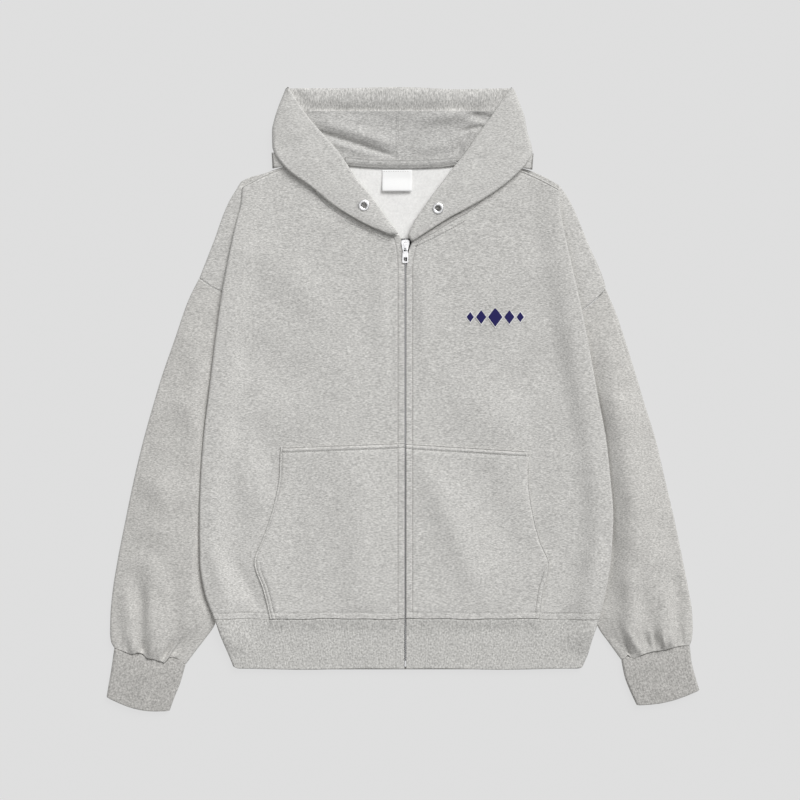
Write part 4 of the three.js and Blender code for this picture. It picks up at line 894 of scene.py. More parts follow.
def hem_face():
    """The ribbed hem: one band from the zip round the back to the zip."""
    ys = np.concatenate([HEM_SEAM_Y - np.array([0, 0.4, 0.9, 1.6, 3, 5]),
                         np.linspace(HEM_SEAM_Y - 9, HEM_Y + 5, 11),
                         HEM_Y + np.array([3, 1.6, 0.9, 0.4, 0])])
    turn = arc(75, -90)

    def half(part, y):
        out = float(read(part["hem"], "out", y))
        lift = float(edge_lift(y))
        top = max(FRONT_TOP, lift + 2 * ROLL)
        face_in = np.array([FOLD_REACH, 38, 31, 26, 21, 16, 12, 9, 6, ROLL])
        panel = np.linspace(part["zip_edge"], out - FOLD_REACH, 60)[:-1]
        x = np.concatenate([panel, out - face_in])
        z = np.concatenate([0 * panel + FRONT_TOP, mix(top, FRONT_TOP, ease(face_in, 4, FOLD_REACH))])
        middle, reach = (top + lift) / 2, (top - lift) / 2
        x = np.concatenate([x, out - ROLL + ROLL * np.cos(turn)])
        z = np.concatenate([z, middle + reach * np.sin(turn)])
        back_in = np.array([7, 11, 13, 16, 18, 21, 26, 31, 80])
        x = np.concatenate([x, out - back_in])
        z = np.concatenate([z, lift * (1 - ease(back_in, *LIFT_FADE))])
        under_pocket = 1 - ease(x, part["pocket"]["out"][0] - 3, part["pocket"]["out"][0] + 4)
        face = np.arange(len(x)) < len(panel)
        z = z + face * under_pocket * POCKET_CLOTH * (1 - ease(HEM_SEAM_Y - y, 0, 16))
        at_end = ease(-y, -HEM_Y - 26, -HEM_Y)
        rounded = 2.2 * ease(x, out - 9, out + 3) * at_end
        waved = y + hem_wave(x * part["hand"], y) + rounded + 0.7 * at_end * np.sin(x / 27.0)
        return np.stack([x, waved, z], 1)

    rows = []
    for y in ys:
        left = half(LEFT, y) * np.array([-1, 1, 1])
        right = half(RIGHT, y)[::-1]
        rows.append(np.vstack([left, right]))
    points, channels, around = ribbed(np.array(rows), 8, False)
    count = points.shape[1]
    from_top, from_end = (HEM_SEAM_Y - ys)[:, None], (ys - HEM_Y)[:, None]
    along = np.arange(count) * around / count
    sides = edge_round(along) + edge_round(around - along)
    ends = 0.6 * edge_round(from_top, 0.9) + edge_round(from_end, 1.5)
    fade = ease(from_end, 0.5, 4) * ease(from_top, 0, 2)
    return points, np.maximum(ends + channels * fade + sides[None, :], DEEPEST)


def hood_section(part, at):
    """Sizes of a half of the hood at one place up its front edge."""
    value = {key: read(part["hood"], key, at) for key in part["hood"]}
    front = np.stack([value["front_x"], value["front_y"]], -1)
    side = np.stack([value["side_x"], value["side_y"]], -1)
    across = side - front
    width = np.linalg.norm(across, axis=-1)
    across = across / width[..., None]
    side_roll = (value["side_top"] - value["under"]) / 2
    return value, front, across, width, side_roll, np.minimum(side_roll, 0.45 * width)


def hood_level(value, width, f):
    """Height of the hood's face across its width."""
    crown = 1.0 * np.minimum(1, width / 40) * np.sin(np.pi * f)
    return mix(value["front_top"], value["side_top"], f) + crown


def hood_face(part):
    """Facing, rolled front edge, face, side fold and the layer turned back under it."""
    at = evenly(part["hood"], "front_y", 3.4, near=(part["hood"]["front_y"][-1],))
    value, front, across, width, side_roll, reach = hood_section(part, at)
    value = {key: column[:, None] for key, column in value.items()}
    width, side_roll, reach = width[:, None], side_roll[:, None], reach[:, None]
    ones = np.ones_like(width)

    def place(inward, z):
        x = front[:, :1] + across[:, :1] * inward
        y = front[:, 1:] + across[:, 1:] * inward
        return np.stack([x, y, z + 0 * x], -1)

    facing = np.minimum(20, 0.42 * width)
    level = value["front_top"] - 2 * FRONT_ROLL
    f = np.array([1, 0.75, 0.5, 0.25])[None, :] * ones
    turned_in = place(mix(FRONT_ROLL, facing, f), level)
    turn = arc(270, 105)[None, :] * ones
    rolled = place(FRONT_ROLL + FRONT_ROLL * np.cos(turn),
                   value["front_top"] - FRONT_ROLL + FRONT_ROLL * np.sin(turn))
    f = np.linspace(0, 1, 40)[None, :] * ones
    inward = mix(FRONT_ROLL, width - reach, f)
    face = place(inward, hood_level(value, width, f))
    clear = ease(f, 0, 0.25) * (1 - ease(f, 0.8, 1)) * ease(width, 30, 60)
    creased = relief(face[..., 0] * part["hand"], face[..., 1], part["hood_creases"], 60, 0.3, 3)
    face[..., 2] += creased * clear
    turn = arc(75, -90)[None, :] * ones
    outer = place(width - reach + reach * np.cos(turn),
                  value["side_top"] - side_roll + side_roll * np.sin(turn))
    last = outer[:, -1:]
    end = np.stack([value["end_x"], value["end_y"], value["under"]], -1)
    share = np.linspace(0, 1, 22)[1:][None, :, None]
    under = mix(last, end, share)
    return np.concatenate([turned_in, rolled, face, outer, under], axis=1)


def hood_corner(part):
    """The bit of the hood's lower layer that peeps out between its side fold and the shoulder."""
    top_in, top_out, low_in, low_out = (np.array(corner) for corner in part["hood_corner"])
    down = np.linspace(0, 1, 8)[:, None, None]
    out = np.linspace(0, 1, 8)[None, :, None]
    place = mix(mix(top_in, top_out, out), mix(low_in, low_out, out), down)
    z = CORNER_TOP - CORNER_FALL * out[..., 0] ** 2 + 0 * down[..., 0]
    return np.concatenate([place, z[..., None]], -1)


def hood_point(part, at, inward):
    """A point on the hood's face, and the way the face looks there."""
    value, front, across, width, _, reach = hood_section(part, np.array([at]))
    f = (inward - FRONT_ROLL) / (width - reach - FRONT_ROLL)
    low, here, high = (hood_level(value, width, f + d)[0] for d in (-0.08, 0, 0.08))
    run = 0.16 * (width - reach - FRONT_ROLL)[0]
    slope = (high - low) / run
    place = front[0] + across[0] * inward
    normal = np.array([-across[0, 0] * slope * part["hand"], -across[0, 1] * slope, 1])
    point = np.array([place[0] * part["hand"], place[1], here])
    return point, normal / np.linalg.norm(normal)


def opening_out(part, y):
    """How far out the edge of the face opening lies at a height."""
    rows = {"at": part["hood"]["front_y"], "out": part["hood"]["front_x"]}
    return read(rows, "out", y)


def lining_top(part, x, y):
    """Height of the hood lining's face: the fold across its top, and its creases."""
    clear = ease(opening_out(part, y) - x, 4, 24)
    across = ease(y, FOLD_Y - 22, FOLD_Y - 1.5) * (1 - ease(y, FOLD_Y - 0.5, FOLD_Y))
    real = x * part["hand"]
    behind = ease(y, FOLD_Y - 0.5, FOLD_Y) * (1 - ease(y, FOLD_Y + 1, FOLD_Y + 9))
    rounded = TOP_SWELL * ease(y, FOLD_Y, FOLD_Y + 17) * (1 - 0.5 * ease(y, HOOD_TOP_Y - 7, HOOD_TOP_Y))
    z = LINING_TOP + (TOP_FOLD * across - TOP_DIP * behind + rounded) * clear
    room = 1.2 + 0.5 * np.clip(opening_out(part, y) - x - 3, 0, 40)
    creases = np.minimum(crease_height(real, y, part["lining_creases"]), room)
    ridge = RIDGE * swell(x, part["lining_edge"], RIDGE_WIDTH)
    soft = ripple(real, y, 50, 0.3, 8) * clear
    return np.maximum(z + creases * ease(y, 305, 318) + soft + ridge, FLEECE + 0.1)


def lining_face(part):
    """The hood's lining from the neck up, over the fold at its top to the hood's top edge."""
    ys = np.unique(np.concatenate([np.linspace(312, 366, 30), np.linspace(366, 373, 29),
                                   np.linspace(373, HOOD_TOP_Y - 0.5, 12)]))
    out = np.minimum(opening_out(part, ys) + 9, opening_out(part, HOOD_TOP_Y))
    x = mix(part["lining_edge"], out[:, None], np.linspace(0, 1, 64)[None, :])
    neck = read(BACK_TOP, "y", x[:1] * part["hand"]) + 0.6
    y = np.vstack([neck, mix(neck, ys[0] + 0 * neck, 0.5), ys[:, None] + 0 * x])
    x = np.vstack([x[:1], x[:1], x])
    z = lining_top(part, x, y)
    real = x * part["hand"]
    wander = sum(rise * swell(real, middle, width) for rise, middle, width in TOP_WANDER)
    y = y + wander * ease(y, FOLD_Y, HOOD_TOP_Y)
    return np.stack([x, y, z], -1)


def pocket_face(part):
    """A pocket: a panel laid on the front, from the zip out to its cut edge."""
    rows = part["pocket"]
    low = rows["at"][0]
    top = max(part["pocket_top"])
    near = [POCKET_STITCH + s for s in (-1.6, -1, -0.5, 0, 0.5, 1, 1.6)]
    rim = [0, 0.3, 0.7, 1.1, 1.5, 1.9, 2.3, 2.8, 3.6]
    ys = spread(top - low, [0, 0.5, 1, 1.6, 4, 6, 7, 8, 9, 10], 46, rim + near)[0] + low
    share = (ys - low) / (top - low)
    out = read(rows, "out", ys)
    x = spread(out - part["zip_edge"], NEAR_EDGE, 40, rim + near) + part["zip_edge"]
    fall = (x - part["zip_edge"]) / (out[-1] - part["zip_edge"])
    drop = (part["pocket_top"][1] - part["pocket_top"][0]) * np.clip(fall, 0, 1)
    y = ys[:, None] + drop * ease(share, 0.5, 1)[:, None]
    z = FRONT_TOP + SEAM + POCKET_CLOTH + front_relief(part, x, y)
    y = y + hem_wave(x * part["hand"], y)
    from_zip = x - part["zip_edge"]
    from_side = out[:, None] - x
    from_top = (top - ys)[:, None]
    from_hem = (ys - low)[:, None]
    detail = edge_round(from_zip, 0.7) + edge_round(from_side, 1.4) + edge_round(from_top, 1.4)
    detail = detail + 0.6 * edge_round(from_hem, 0.9)
    below_opening = 1 - ease(ys, part["opening_y"] - 4, part["opening_y"])[:, None]
    for distance, shown in ((from_top, 1), (from_side, below_opening)):
        detail = detail + groove(distance, POCKET_STITCH, 1.0, 0.9) * shown
        detail = detail + groove(distance, POCKET_RIM, 1.0, 1.3)
    placket = PLACKET_STITCH[part["hand"]]
    beside_zip = groove(from_zip, placket, STITCH_WIDTH, 0.7)
    detail = detail + beside_zip + groove(from_hem, HEM_STITCH, STITCH_WIDTH, 0.5)
    return np.stack([x, y, z], -1), np.maximum(detail, POCKET_DEEPEST)


def shader_of(name, colour, roughness, metallic=0.0, sheen=0.0):
    """A new material with one principled shader, and the tree to build on."""
    made = bpy.data.materials.new(name)
    made.use_nodes = True
    tree = made.node_tree
    tree.nodes.clear()
    shader = tree.nodes.new("ShaderNodeBsdfPrincipled")
    output = tree.nodes.new("ShaderNodeOutputMaterial")
    tree.links.new(shader.outputs["BSDF"], output.inputs["Surface"])
    shader.inputs["Base Color"].default_value = (*colour, 1)
    shader.inputs["Roughness"].default_value = roughness
    shader.inputs["Metallic"].default_value = metallic
    shader.inputs["Specular IOR Level"].default_value = 0.5 if metallic else 0.15
    shader.inputs["Sheen Weight"].default_value = sheen
    shader.inputs["Sheen Roughness"].default_value = 0.6
    return made, tree, shader


def noise(tree, scale, stretch, detail=2.0, roughness=0.55):
    """Noise in the object's own space, drawn out along the grain by stretch."""
    place = tree.nodes.new("ShaderNodeTexCoord")
    mapping = tree.nodes.new("ShaderNodeMapping")
    texture = tree.nodes.new("ShaderNodeTexNoise")
    mapping.inputs["Scale"].default_value = [scale * part for part in stretch]
    texture.inputs["Scale"].default_value = 1.0
    texture.inputs["Detail"].default_value = detail
    texture.inputs["Roughness"].default_value = roughness
    tree.links.new(place.outputs["Object"], mapping.inputs["Vector"])
    tree.links.new(mapping.outputs["Vector"], texture.inputs["Vector"])
    return texture.outputs["Fac"]


def span(tree, value, low, high, to_low, to_high):
    """The value, moved from one range to another."""
    node = tree.nodes.new("ShaderNodeMapRange")
    node.inputs["From Min"].default_value = low
    node.inputs["From Max"].default_value = high
    node.inputs["To Min"].default_value = to_low
    node.inputs["To Max"].default_value = to_high
    tree.links.new(value, node.inputs["Value"])
    return node.outputs["Result"]


def multiplied(tree, first, second):
    """The product of two values."""
    node = tree.nodes.new("ShaderNodeMath")
    node.operation = "MULTIPLY"
    tree.links.new(first, node.inputs[0])
    tree.links.new(second, node.inputs[1])
    return node.outputs["Value"]


def tinted(tree, shader, colour, shade):
    """Colour the shader with one colour, made lighter and darker by shade."""
    tint = tree.nodes.new("ShaderNodeVectorMath")
    tint.operation = "SCALE"
    tint.inputs[0].default_value = colour
    tree.links.new(shade, tint.inputs["Scale"])
    tree.links.new(tint.outputs["Vector"], shader.inputs["Base Color"])


def raised(tree, shader, height, strength, distance):
    """Let a fine grain stand out of the surface."""
    bump = tree.nodes.new("ShaderNodeBump")
    bump.inputs["Strength"].default_value = strength
    bump.inputs["Distance"].default_value = distance
    tree.links.new(height, bump.inputs["Height"])
    tree.links.new(bump.outputs["Normal"], shader.inputs["Normal"])


def heather(name, colour, stretch, contrast, fuzz):
    """Heather knit: light and dark fibres in short flecks, broad soft mottling and a fuzzy face."""
    made, tree, shader = shader_of(name, colour, 0.95, sheen=0.12)
    coarse = noise(tree, GRAIN, stretch, 3.0, 0.6)
    flecks = span(tree, coarse, 0.28, 0.72, 1 - contrast, 1 + contrast)
    half = contrast / 2
    fine = span(tree, noise(tree, GRAIN * 2.4, stretch, 2.0), 0.25, 0.75, 1 - half, 1 + half)
    mottle = span(tree, noise(tree, 60.0, (1, 1, 1), 2.0), 0.25, 0.75, 0.965, 1.035)
    shade = multiplied(tree, multiplied(tree, flecks, fine), mottle)
    tinted(tree, shader, colour, shade)
    raised(tree, shader, noise(tree, 1500.0, (1, 1, 1), 3.0), fuzz, 0.0004)
    return made


def worn_metal(name, colour, roughness):
    """Nickel plated metal with faint fine scratches."""
    made, tree, shader = shader_of(name, colour, roughness, metallic=1.0)
    rough = span(tree, noise(tree, 900.0, (1, 0.3, 1)), 0.3, 0.7, roughness - 0.06, roughness + 0.1)
    tree.links.new(rough, shader.inputs["Roughness"])
    return made


def plain_cloth(name, colour, scale, contrast):
    """Woven tape, thread or label cloth, all of one colour but for its fine grain."""
    made, tree, shader = shader_of(name, colour, 0.85, sheen=0.05)
    grain = span(tree, noise(tree, scale, (1, 1, 1)), 0.3, 0.7, 1 - contrast, 1 + contrast)
    tinted(tree, shader, colour, grain)
    raised(tree, shader, noise(tree, 2600.0, (1, 1, 1)), 0.3, 0.0002)
    return made


GRAIN = 340.0
ALONG_X = (0.85, 2.5, 2.5)
ALONG_Y = (2.3, 0.7, 2.3)
EVEN = (1.2, 1.2, 1.2)


# How each material is made: its maker, which colour it takes, and the rest of its look.
LOOKS = {
    "heather_fleece": (heather, "fleece", ALONG_X, 0.38, 0.5),
    # Painted shade: a darker copy of the fleece for the sleeves.
    "heather_sleeve": (heather, "sleeve", ALONG_X, 0.38, 0.5),
    # Painted light: a lighter copy of the fleece for the hood.
    "heather_hood": (heather, "hood", ALONG_X, 0.34, 0.5),
    # Painted shade: a dark copy of the fleece for the hood's lower layer beside the shoulder.
    "heather_hood_under": (heather, "hood_under", ALONG_X, 0.42, 0.5),
    "heather_hood_strip": (heather, "hood_strip", ALONG_Y, 0.42, 0.5),
    "heather_lining": (heather, "lining", ALONG_X, 0.42, 0.5),
    "heather_hem": (heather, "rib", EVEN, 0.38, 0.4),
    "heather_cuff": (heather, "cuff", EVEN, 0.38, 0.4),
    "brushed_inside": (heather, "inside", (1, 1, 1), 0.07, 0.9),
    "heather_tape": (heather, "tape", ALONG_X, 0.4, 0.4),
    "zip_cloth": (plain_cloth, "zip_tape", 1500.0, 0.12),
    "label_cloth": (plain_cloth, "label", 2000.0, 0.03),
    "sewing_thread": (plain_cloth, "thread", 2000.0, 0.1),
    "nickel": (worn_metal, "metal", 0.32),
    "zip_teeth_metal": (worn_metal, "teeth", 0.42),
    "badge_thread": (plain_cloth, "badge", 1800.0, 0.15),
    "badge_border": (plain_cloth, "badge_border", 1800.0, 0.06),
}


def material(key):
    """The garment's material of that name, made when it is first asked for."""
    made = bpy.data.materials.get(key)
    if made:
        return made
    maker, colour, *look = LOOKS[key]
    return maker(key, getattr(bpy.context.scene.hoodie_colours, colour), *look)


def thread(name, rows, slot="fleece", heavier=1.0):
    """Rows of stitches along several lines, as one object, of heavier thread where asked."""
    sizes = bpy.context.scene.hoodie_sizes
    pitch, width = sizes.stitch_pitch / MM, heavier * sizes.thread_width / MM
    parts = [stitches(row, pitch, pitch * STITCH_SHARE, width, width * THREAD_HEIGHT) for row in rows]
    made = add_object(name, joined(parts), [material("sewing_thread")])
    stand_for(made, None)


def cloth_for(node, mesh_parts, cloths, choose=None):
    """The cloth that takes the place of one plain solid."""
    cloths = [material(key) for key in cloths]
    made = add_object(node + "_cloth", mesh_parts, cloths, choose=choose)
    stand_for(made, node)


def hem_stitch_row(points):
    """Which row of a front's or pocket's points the hem's stitches follow."""
    return np.argmin(np.abs(points[:, 0, 1] - points[0, 0, 1] - HEM_STITCH))


def placket_column(part):
    """Which column of points the stitches beside the zip follow."""
    return NEAR_EDGE.index(PLACKET_STITCH[part["hand"]])


def lathe(profile, segments=48):
    """Vertices and faces of a ring turned from a closed profile of radii and heights."""
    turn = np.arange(segments) / segments * 2 * math.pi
    radius, height = np.array(profile, float).T
    x = radius[None, :] * np.cos(turn)[:, None]
    y = radius[None, :] * np.sin(turn)[:, None]
    vertices = np.stack([x, y, height[None, :] + 0 * x], -1)
    m = len(profile)
    i, j = np.meshgrid(np.arange(segments), np.arange(m), indexing="ij")

    def at(a, b):
        return ((a % segments) * m + b % m).ravel()

    faces = np.stack([at(i, j), at(i + 1, j), at(i + 1, j + 1), at(i, j + 1)], 1)
    return vertices.reshape(-1, 3), faces


def turned_to(vertices, point, normal):
    """Points made round the z axis, turned to look along normal and moved to point."""
    helper = np.array([0.0, 1.0, 0.0])
    x = np.cross(helper, normal)
    x /= np.linalg.norm(x)
    y = np.cross(normal, x)
    return vertices @ np.array([x, y, normal]) + point


def box_mesh(x0, x1, y0, y1, z0, z1):
    """Vertices and faces of a plain box."""
    corners = [(x, y, z) for z in (z0, z1) for x, y in ((x0, y0), (x1, y0), (x1, y1), (x0, y1))]
    faces = [(0, 3, 2, 1), (4, 5, 6, 7), (0, 1, 5, 4), (1, 2, 6, 5), (2, 3, 7, 6), (3, 0, 4, 7)]
    return np.array(corners, float), np.array(faces)


class HoodieSizes(bpy.types.PropertyGroup):
    """Sizes of the cloth's finer form."""

    crease_strength: bpy.props.FloatProperty(
        name="Crease Strength", description="How deep the cloth's creases are, 1 as worn",
        default=1.0, min=0.0, max=2.0, subtype="FACTOR")
    gather_depth: bpy.props.FloatProperty(
        name="Gather Depth", description="Height of the sleeve's pleats above the cuff",
        default=0.0024, unit="LENGTH", subtype="DISTANCE")
    rib_pitch: bpy.props.FloatProperty(
        name="Rib Pitch", description="Distance from one knitted rib to the next",
        default=0.0032, unit="LENGTH", subtype="DISTANCE")
    rib_depth: bpy.props.FloatProperty(
        name="Rib Depth", description="Depth of the channels between the ribs",
        default=0.0002, unit="LENGTH", subtype="DISTANCE")
    stitch_pitch: bpy.props.FloatProperty(
        name="Stitch Pitch", description="Distance from one stitch to the next",
        default=0.003, unit="LENGTH", subtype="DISTANCE")
    thread_width: bpy.props.FloatProperty(
        name="Thread Width", description="Width of the sewing thread",
        default=0.0008, unit="LENGTH", subtype="DISTANCE")
    tooth_pitch: bpy.props.FloatProperty(
        name="Tooth Pitch", description="Distance between zip teeth of one side",
        default=0.0029, unit="LENGTH", subtype="DISTANCE")


def colour_property(label, description, default):
    return bpy.props.FloatVectorProperty(
        name=label, description=description, default=default, size=3, min=0.0, max=1.0,
        subtype="COLOR")


class HoodieColours(bpy.types.PropertyGroup):
    """Colours of the cloth, the trims and the badge."""

    fleece: colour_property("Fleece", "Heather face of the body", (0.585, 0.577, 0.556))
    hood_under: colour_property("Hood Under", "Lower layer of the hood, in its own shade",
                                (0.34, 0.334, 0.32))
    hood_strip: colour_property("Hood Strip", "Top of the hood behind the fold",
                                (0.59, 0.582, 0.562))
    lining: colour_property("Hood Lining", "Heather cloth inside the hood", (0.53, 0.524, 0.508))
    sleeve: colour_property("Sleeve", "Heather face of the sleeves", (0.555, 0.545, 0.522))
    hood: colour_property("Hood", "Heather face of the hood", (0.60, 0.593, 0.572))
    rib: colour_property("Hem Rib", "Heather rib of the hem", (0.55, 0.543, 0.522))
    cuff: colour_property("Cuff Rib", "Heather rib of the cuffs", (0.47, 0.46, 0.44))
    inside: colour_property("Inside", "Brushed back of the fleece", (0.90, 0.895, 0.88))
    tape: colour_property("Neck Tape", "Tape over the neck seam", (0.50, 0.495, 0.48))
    zip_tape: colour_property("Zip Tape", "Woven tape of the zip", (0.07, 0.069, 0.068))
    label: colour_property("Label", "Blank woven neck label", (0.95, 0.95, 0.945))
    thread: colour_property("Thread", "Sewing thread", (0.43, 0.425, 0.41))
    metal: colour_property("Metal", "Plated slider, tab and eyelets", (0.93, 0.93, 0.94))
    teeth: colour_property("Teeth", "Metal teeth of the zip", (0.62, 0.62, 0.63))
    badge: colour_property("Badge", "Embroidered shapes on the chest", (0.022, 0.019, 0.105))
    badge_border: colour_property("Badge Border", "Stitched edge of those shapes",
                                  (0.80, 0.80, 0.79))
    floor: colour_property("Floor", "Plain surface under the garment", (0.80, 0.80, 0.80))


class HOODIE_OT_fronts(bpy.types.Operator):
    """Make both fronts with their folds, seams and stitching"""

    bl_idname = "hoodie.fronts"
    bl_label = "Fronts"

    def execute(self, context):
        for name, part in SIDES:
            points, detail = front_face(part)
            strip, strip_detail = strip_face(part)
            mesh = joined([handed(part, points, FLEECE, -1, detail=detail),
                           handed(part, strip, FLEECE, -1, detail=strip_detail)])
            cloth_for("front_" + name, mesh, ["heather_fleece"])
            face = placed(part, points)
            face[..., 2] += 0.05
            sunk = face - (0, 0, FRONT_SINK)
            row, column = hem_stitch_row(points), placket_column(part)
            lines = [sunk[row, column:-16], sunk[row:-2, column]]
            thread("front_" + name + "_stitching", lines)
            # Heavier thread along the neck: real topstitching, drawn wide and dark as painted shade of
            # the seam's groove.
            neck = [self.neck_line(face, part["neck_stitch"])]
            thread("neck_" + name + "_stitching", neck, heavier=NECK_THREAD_WITH_SHADE)
        return {"FINISHED"}

    def neck_line(self, face, corners):
        """A line on the front's face that follows the neck seam below the hood."""
        corners = np.array(corners)
        step = np.linspace(0, len(corners) - 1, 60)
        line = np.stack([np.interp(step, np.arange(len(corners)), corners[:, k]) for k in (0, 1)], 1)
        flat = face.reshape(-1, 3)
        nearest = [np.argmin(np.hypot(*(flat[:, :2] - place).T)) for place in line]
        return np.column_stack([line, flat[nearest, 2] + 0.2])


class HOODIE_OT_back(bpy.types.Operator):
    """Make the back, its brushed side showing below the neck tape"""

    bl_idname = "hoodie.back"
    bl_label = "Back"

    def execute(self, context):
        cloths = ["heather_fleece", "brushed_inside"]
        mesh = shell(back_face(), FLEECE, 1)
        cloth_for("back", mesh, cloths, self.brushed)
        return {"FINISHED"}

    @staticmethod
    def brushed(middles):
        """1 for the faces of the upper side that show inside the neck."""
        x, y, z = middles.T
        shown = (z > FLEECE / 2) & (np.abs(x) < BRUSHED_HALF) & (y > BRUSHED_LOW)
        return np.where(shown, 1, 0)


class HOODIE_OT_sleeves(bpy.types.Operator):
    """Make both sleeves, gathered into their cuffs"""

    bl_idname = "hoodie.sleeves"
    bl_label = "Sleeves"

    def execute(self, context):
        for name, part in SIDES:
            points, detail = sleeve_face(part)
            mesh = handed(part, points, FLEECE, 1, detail=detail)
            # The sleeves' material is the fleece darkened as painted shade.
            cloth_for("sleeve_" + name, mesh, ["heather_sleeve"])
        return {"FINISHED"}


class HOODIE_OT_rib(bpy.types.Operator):
    """Knit the cuffs and the hem"""

    bl_idname = "hoodie.rib"
    bl_label = "Ribbed Cuffs and Hem"

    def execute(self, context):
        for name, part in SIDES:
            points, detail = cuff_face(part)
            mesh = handed(part, points, RIB, 1, ring=True, detail=detail)
            cloth_for("cuff_" + name, mesh, ["heather_cuff"])
        points, detail = hem_face()
        mesh = shell(points, RIB, -1, detail=detail)
        cloth_for("hem_rib", mesh, ["heather_hem"])
        return {"FINISHED"}


class HOODIE_OT_hood(bpy.types.Operator):
    """Make the hood's outer halves and its eyelets"""

    bl_idname = "hoodie.hood"
    bl_label = "Hood"

    def execute(self, context):
        for name, part in SIDES:
            points = hood_face(part)
            mesh = joined([handed(part, points, FLEECE, -1),
                           handed(part, hood_corner(part), FLEECE, -1)])
            # The second material is a darker copy of the fleece, painted shade on the lower layer's
            # corner.
            cloths = [material("heather_hood"), material("heather_hood_under")]
            hood = add_object("hood_" + name + "_cloth", mesh, cloths, choose=self.lower_layer)
            stand_for(hood, "hood_" + name)
            point, normal = hood_point(part, *part["eyelet"])
            self.cut_hole(context, hood, point, normal)
            self.add_eyelet(name, point, normal)
        return {"FINISHED"}

    @staticmethod
    def lower_layer(middles):
        """1 for the faces of the lower layer's corner beside the shoulder, which take the darker
        material of painted shade.
        """
        x, y, z = middles.T
        shown = (np.abs(x) > CORNER_IN) & (y < CORNER_HIGH) & (z < CORNER_LEVEL)
        return np.where(shown, 1, 0)

    def cut_hole(self, context, hood, point, normal):
        """Punch the eyelet's hole through the hood's face."""
        low, high = -FLEECE - 0.9, 3.0
        vertices, faces = lathe([(0.01, low), (5.0, low), (5.0, high), (0.01, high)], 32)
        cutter = add_object("hole_cutter", (turned_to(vertices, point, normal), faces),
                            [material("heather_hood")])
        cut = hood.modifiers.new("eyelet hole", "BOOLEAN")
        cut.operation = "DIFFERENCE"
        cut.solver = "EXACT"
        cut.object = cutter
        context.view_layer.update()
        shape = hood.evaluated_get(context.evaluated_depsgraph_get())
        mesh = bpy.data.meshes.new_from_object(shape)
        hood.modifiers.clear()
        hood.data = mesh
        bpy.data.objects.remove(cutter)

    def add_eyelet(self, name, point, normal):
        """A metal eyelet: a rounded flange on the cloth and a barrel through it."""
        hole, barrel, rim, lip, top = 3.5, 4.6, 7.2, 0.35, 1.4
        low = -FLEECE - 0.2
        profile = [(hole, low), (barrel, low), (barrel, SEAM), (rim, SEAM)]
        middle, reach = (rim + hole) / 2, (rim - hole) / 2
        for degrees in range(0, 181, 15):
            turn = math.radians(degrees)
            height = lip + (top - lip) * math.sin(turn) ** 0.8
            profile.append((middle + reach * math.cos(turn), height))
        vertices, faces = lathe(profile)
        eyelet = add_object("eyelet_" + name + "_ring",
                            (turned_to(vertices, point, normal), faces), [material("nickel")])
        stand_for(eyelet, "eyelet_" + name)


class HOODIE_OT_lining(bpy.types.Operator):
    """Make the hood's lining, folded over at its top, the neck tape and the blank label"""

    bl_idname = "hoodie.lining"
    bl_label = "Hood Lining and Neck"

    def execute(self, context):
        for name, part in SIDES:
            mesh = handed(part, lining_face(part), FLEECE, -1)
            cloth_for("hood_lining_" + name, mesh,
                      ["heather_lining", "heather_hood_strip"], self.past_fold)
        self.neck_tape()
        self.label()
        return {"FINISHED"}

    @staticmethod
    def past_fold(middles):
        """1 for the faces behind the fold at the lining's top."""
        return np.where(middles[:, 1] > FOLD_Y - 1, 1, 0)

    def neck_tape(self):
        """A tape that wraps the seam between the back and the hood, stitched along both edges."""
        thick = 1.0
        x = np.linspace(TAPE_LEFT, TAPE_RIGHT, 90)
        neck = read(BACK_TOP, "y", x)
        high = LINING_TOP + SEAM + thick
        section = [(7, high), (6.4, high + 0.1), (5.2, high - 0.9), (4.2, high), (2.6, high),
                   (0.4, high - 0.2), (-1, 6.0), (-2.0, 5.0), (-2.6, 5.2), (-3.4, 4.6),
                   (-4.8, FLEECE + SEAM + thick + 0.1)]
        rows = np.array([np.stack([x, neck + above, z + 0 * x], 1) for above, z in section])
        cloth_for("neck_tape", shell(rows, thick, 1), ["heather_tape"])
        thread("neck_tape_stitching", [rows[2] + (0, 0, 0.1), rows[7] + (0, 0, 0.15)],
               "neck_tape")

    def label(self):
        """A blank label, held along its top, its lower edge standing up a little."""
        low = FLEECE + SEAM + 0.8
        x = np.linspace(LABEL_LEFT, LABEL_RIGHT, 26)[None, :]
        y = np.linspace(LABEL_LOW, LABEL_HIGH, 20)[:, None]
        across = (x - LABEL_LEFT) / (LABEL_RIGHT - LABEL_LEFT)
        lift = LABEL_LIFT * ease(LABEL_HIGH - y, 8, 28) * (0.8 + 0.2 * np.sin(across * math.pi))
        points = np.stack([x + 0 * y, y + 0 * x, low + lift + 0 * x], -1)
        from_side = np.minimum(x - LABEL_LEFT, LABEL_RIGHT - x)
        edge = np.minimum(from_side, np.minimum(y - LABEL_LOW, LABEL_HIGH - y))
        mesh = shell(points, LABEL_CLOTH, -1, detail=0.4 * edge_round(edge, 1.0))
        cloth_for("neck_label", mesh, ["label_cloth"])
        ends = [(-25.5, 293.5, low + 0.05), (10, 293.5, low + 0.05)]
        thread("neck_label_stitching", [np.linspace(*np.array(ends), 12)], "label")


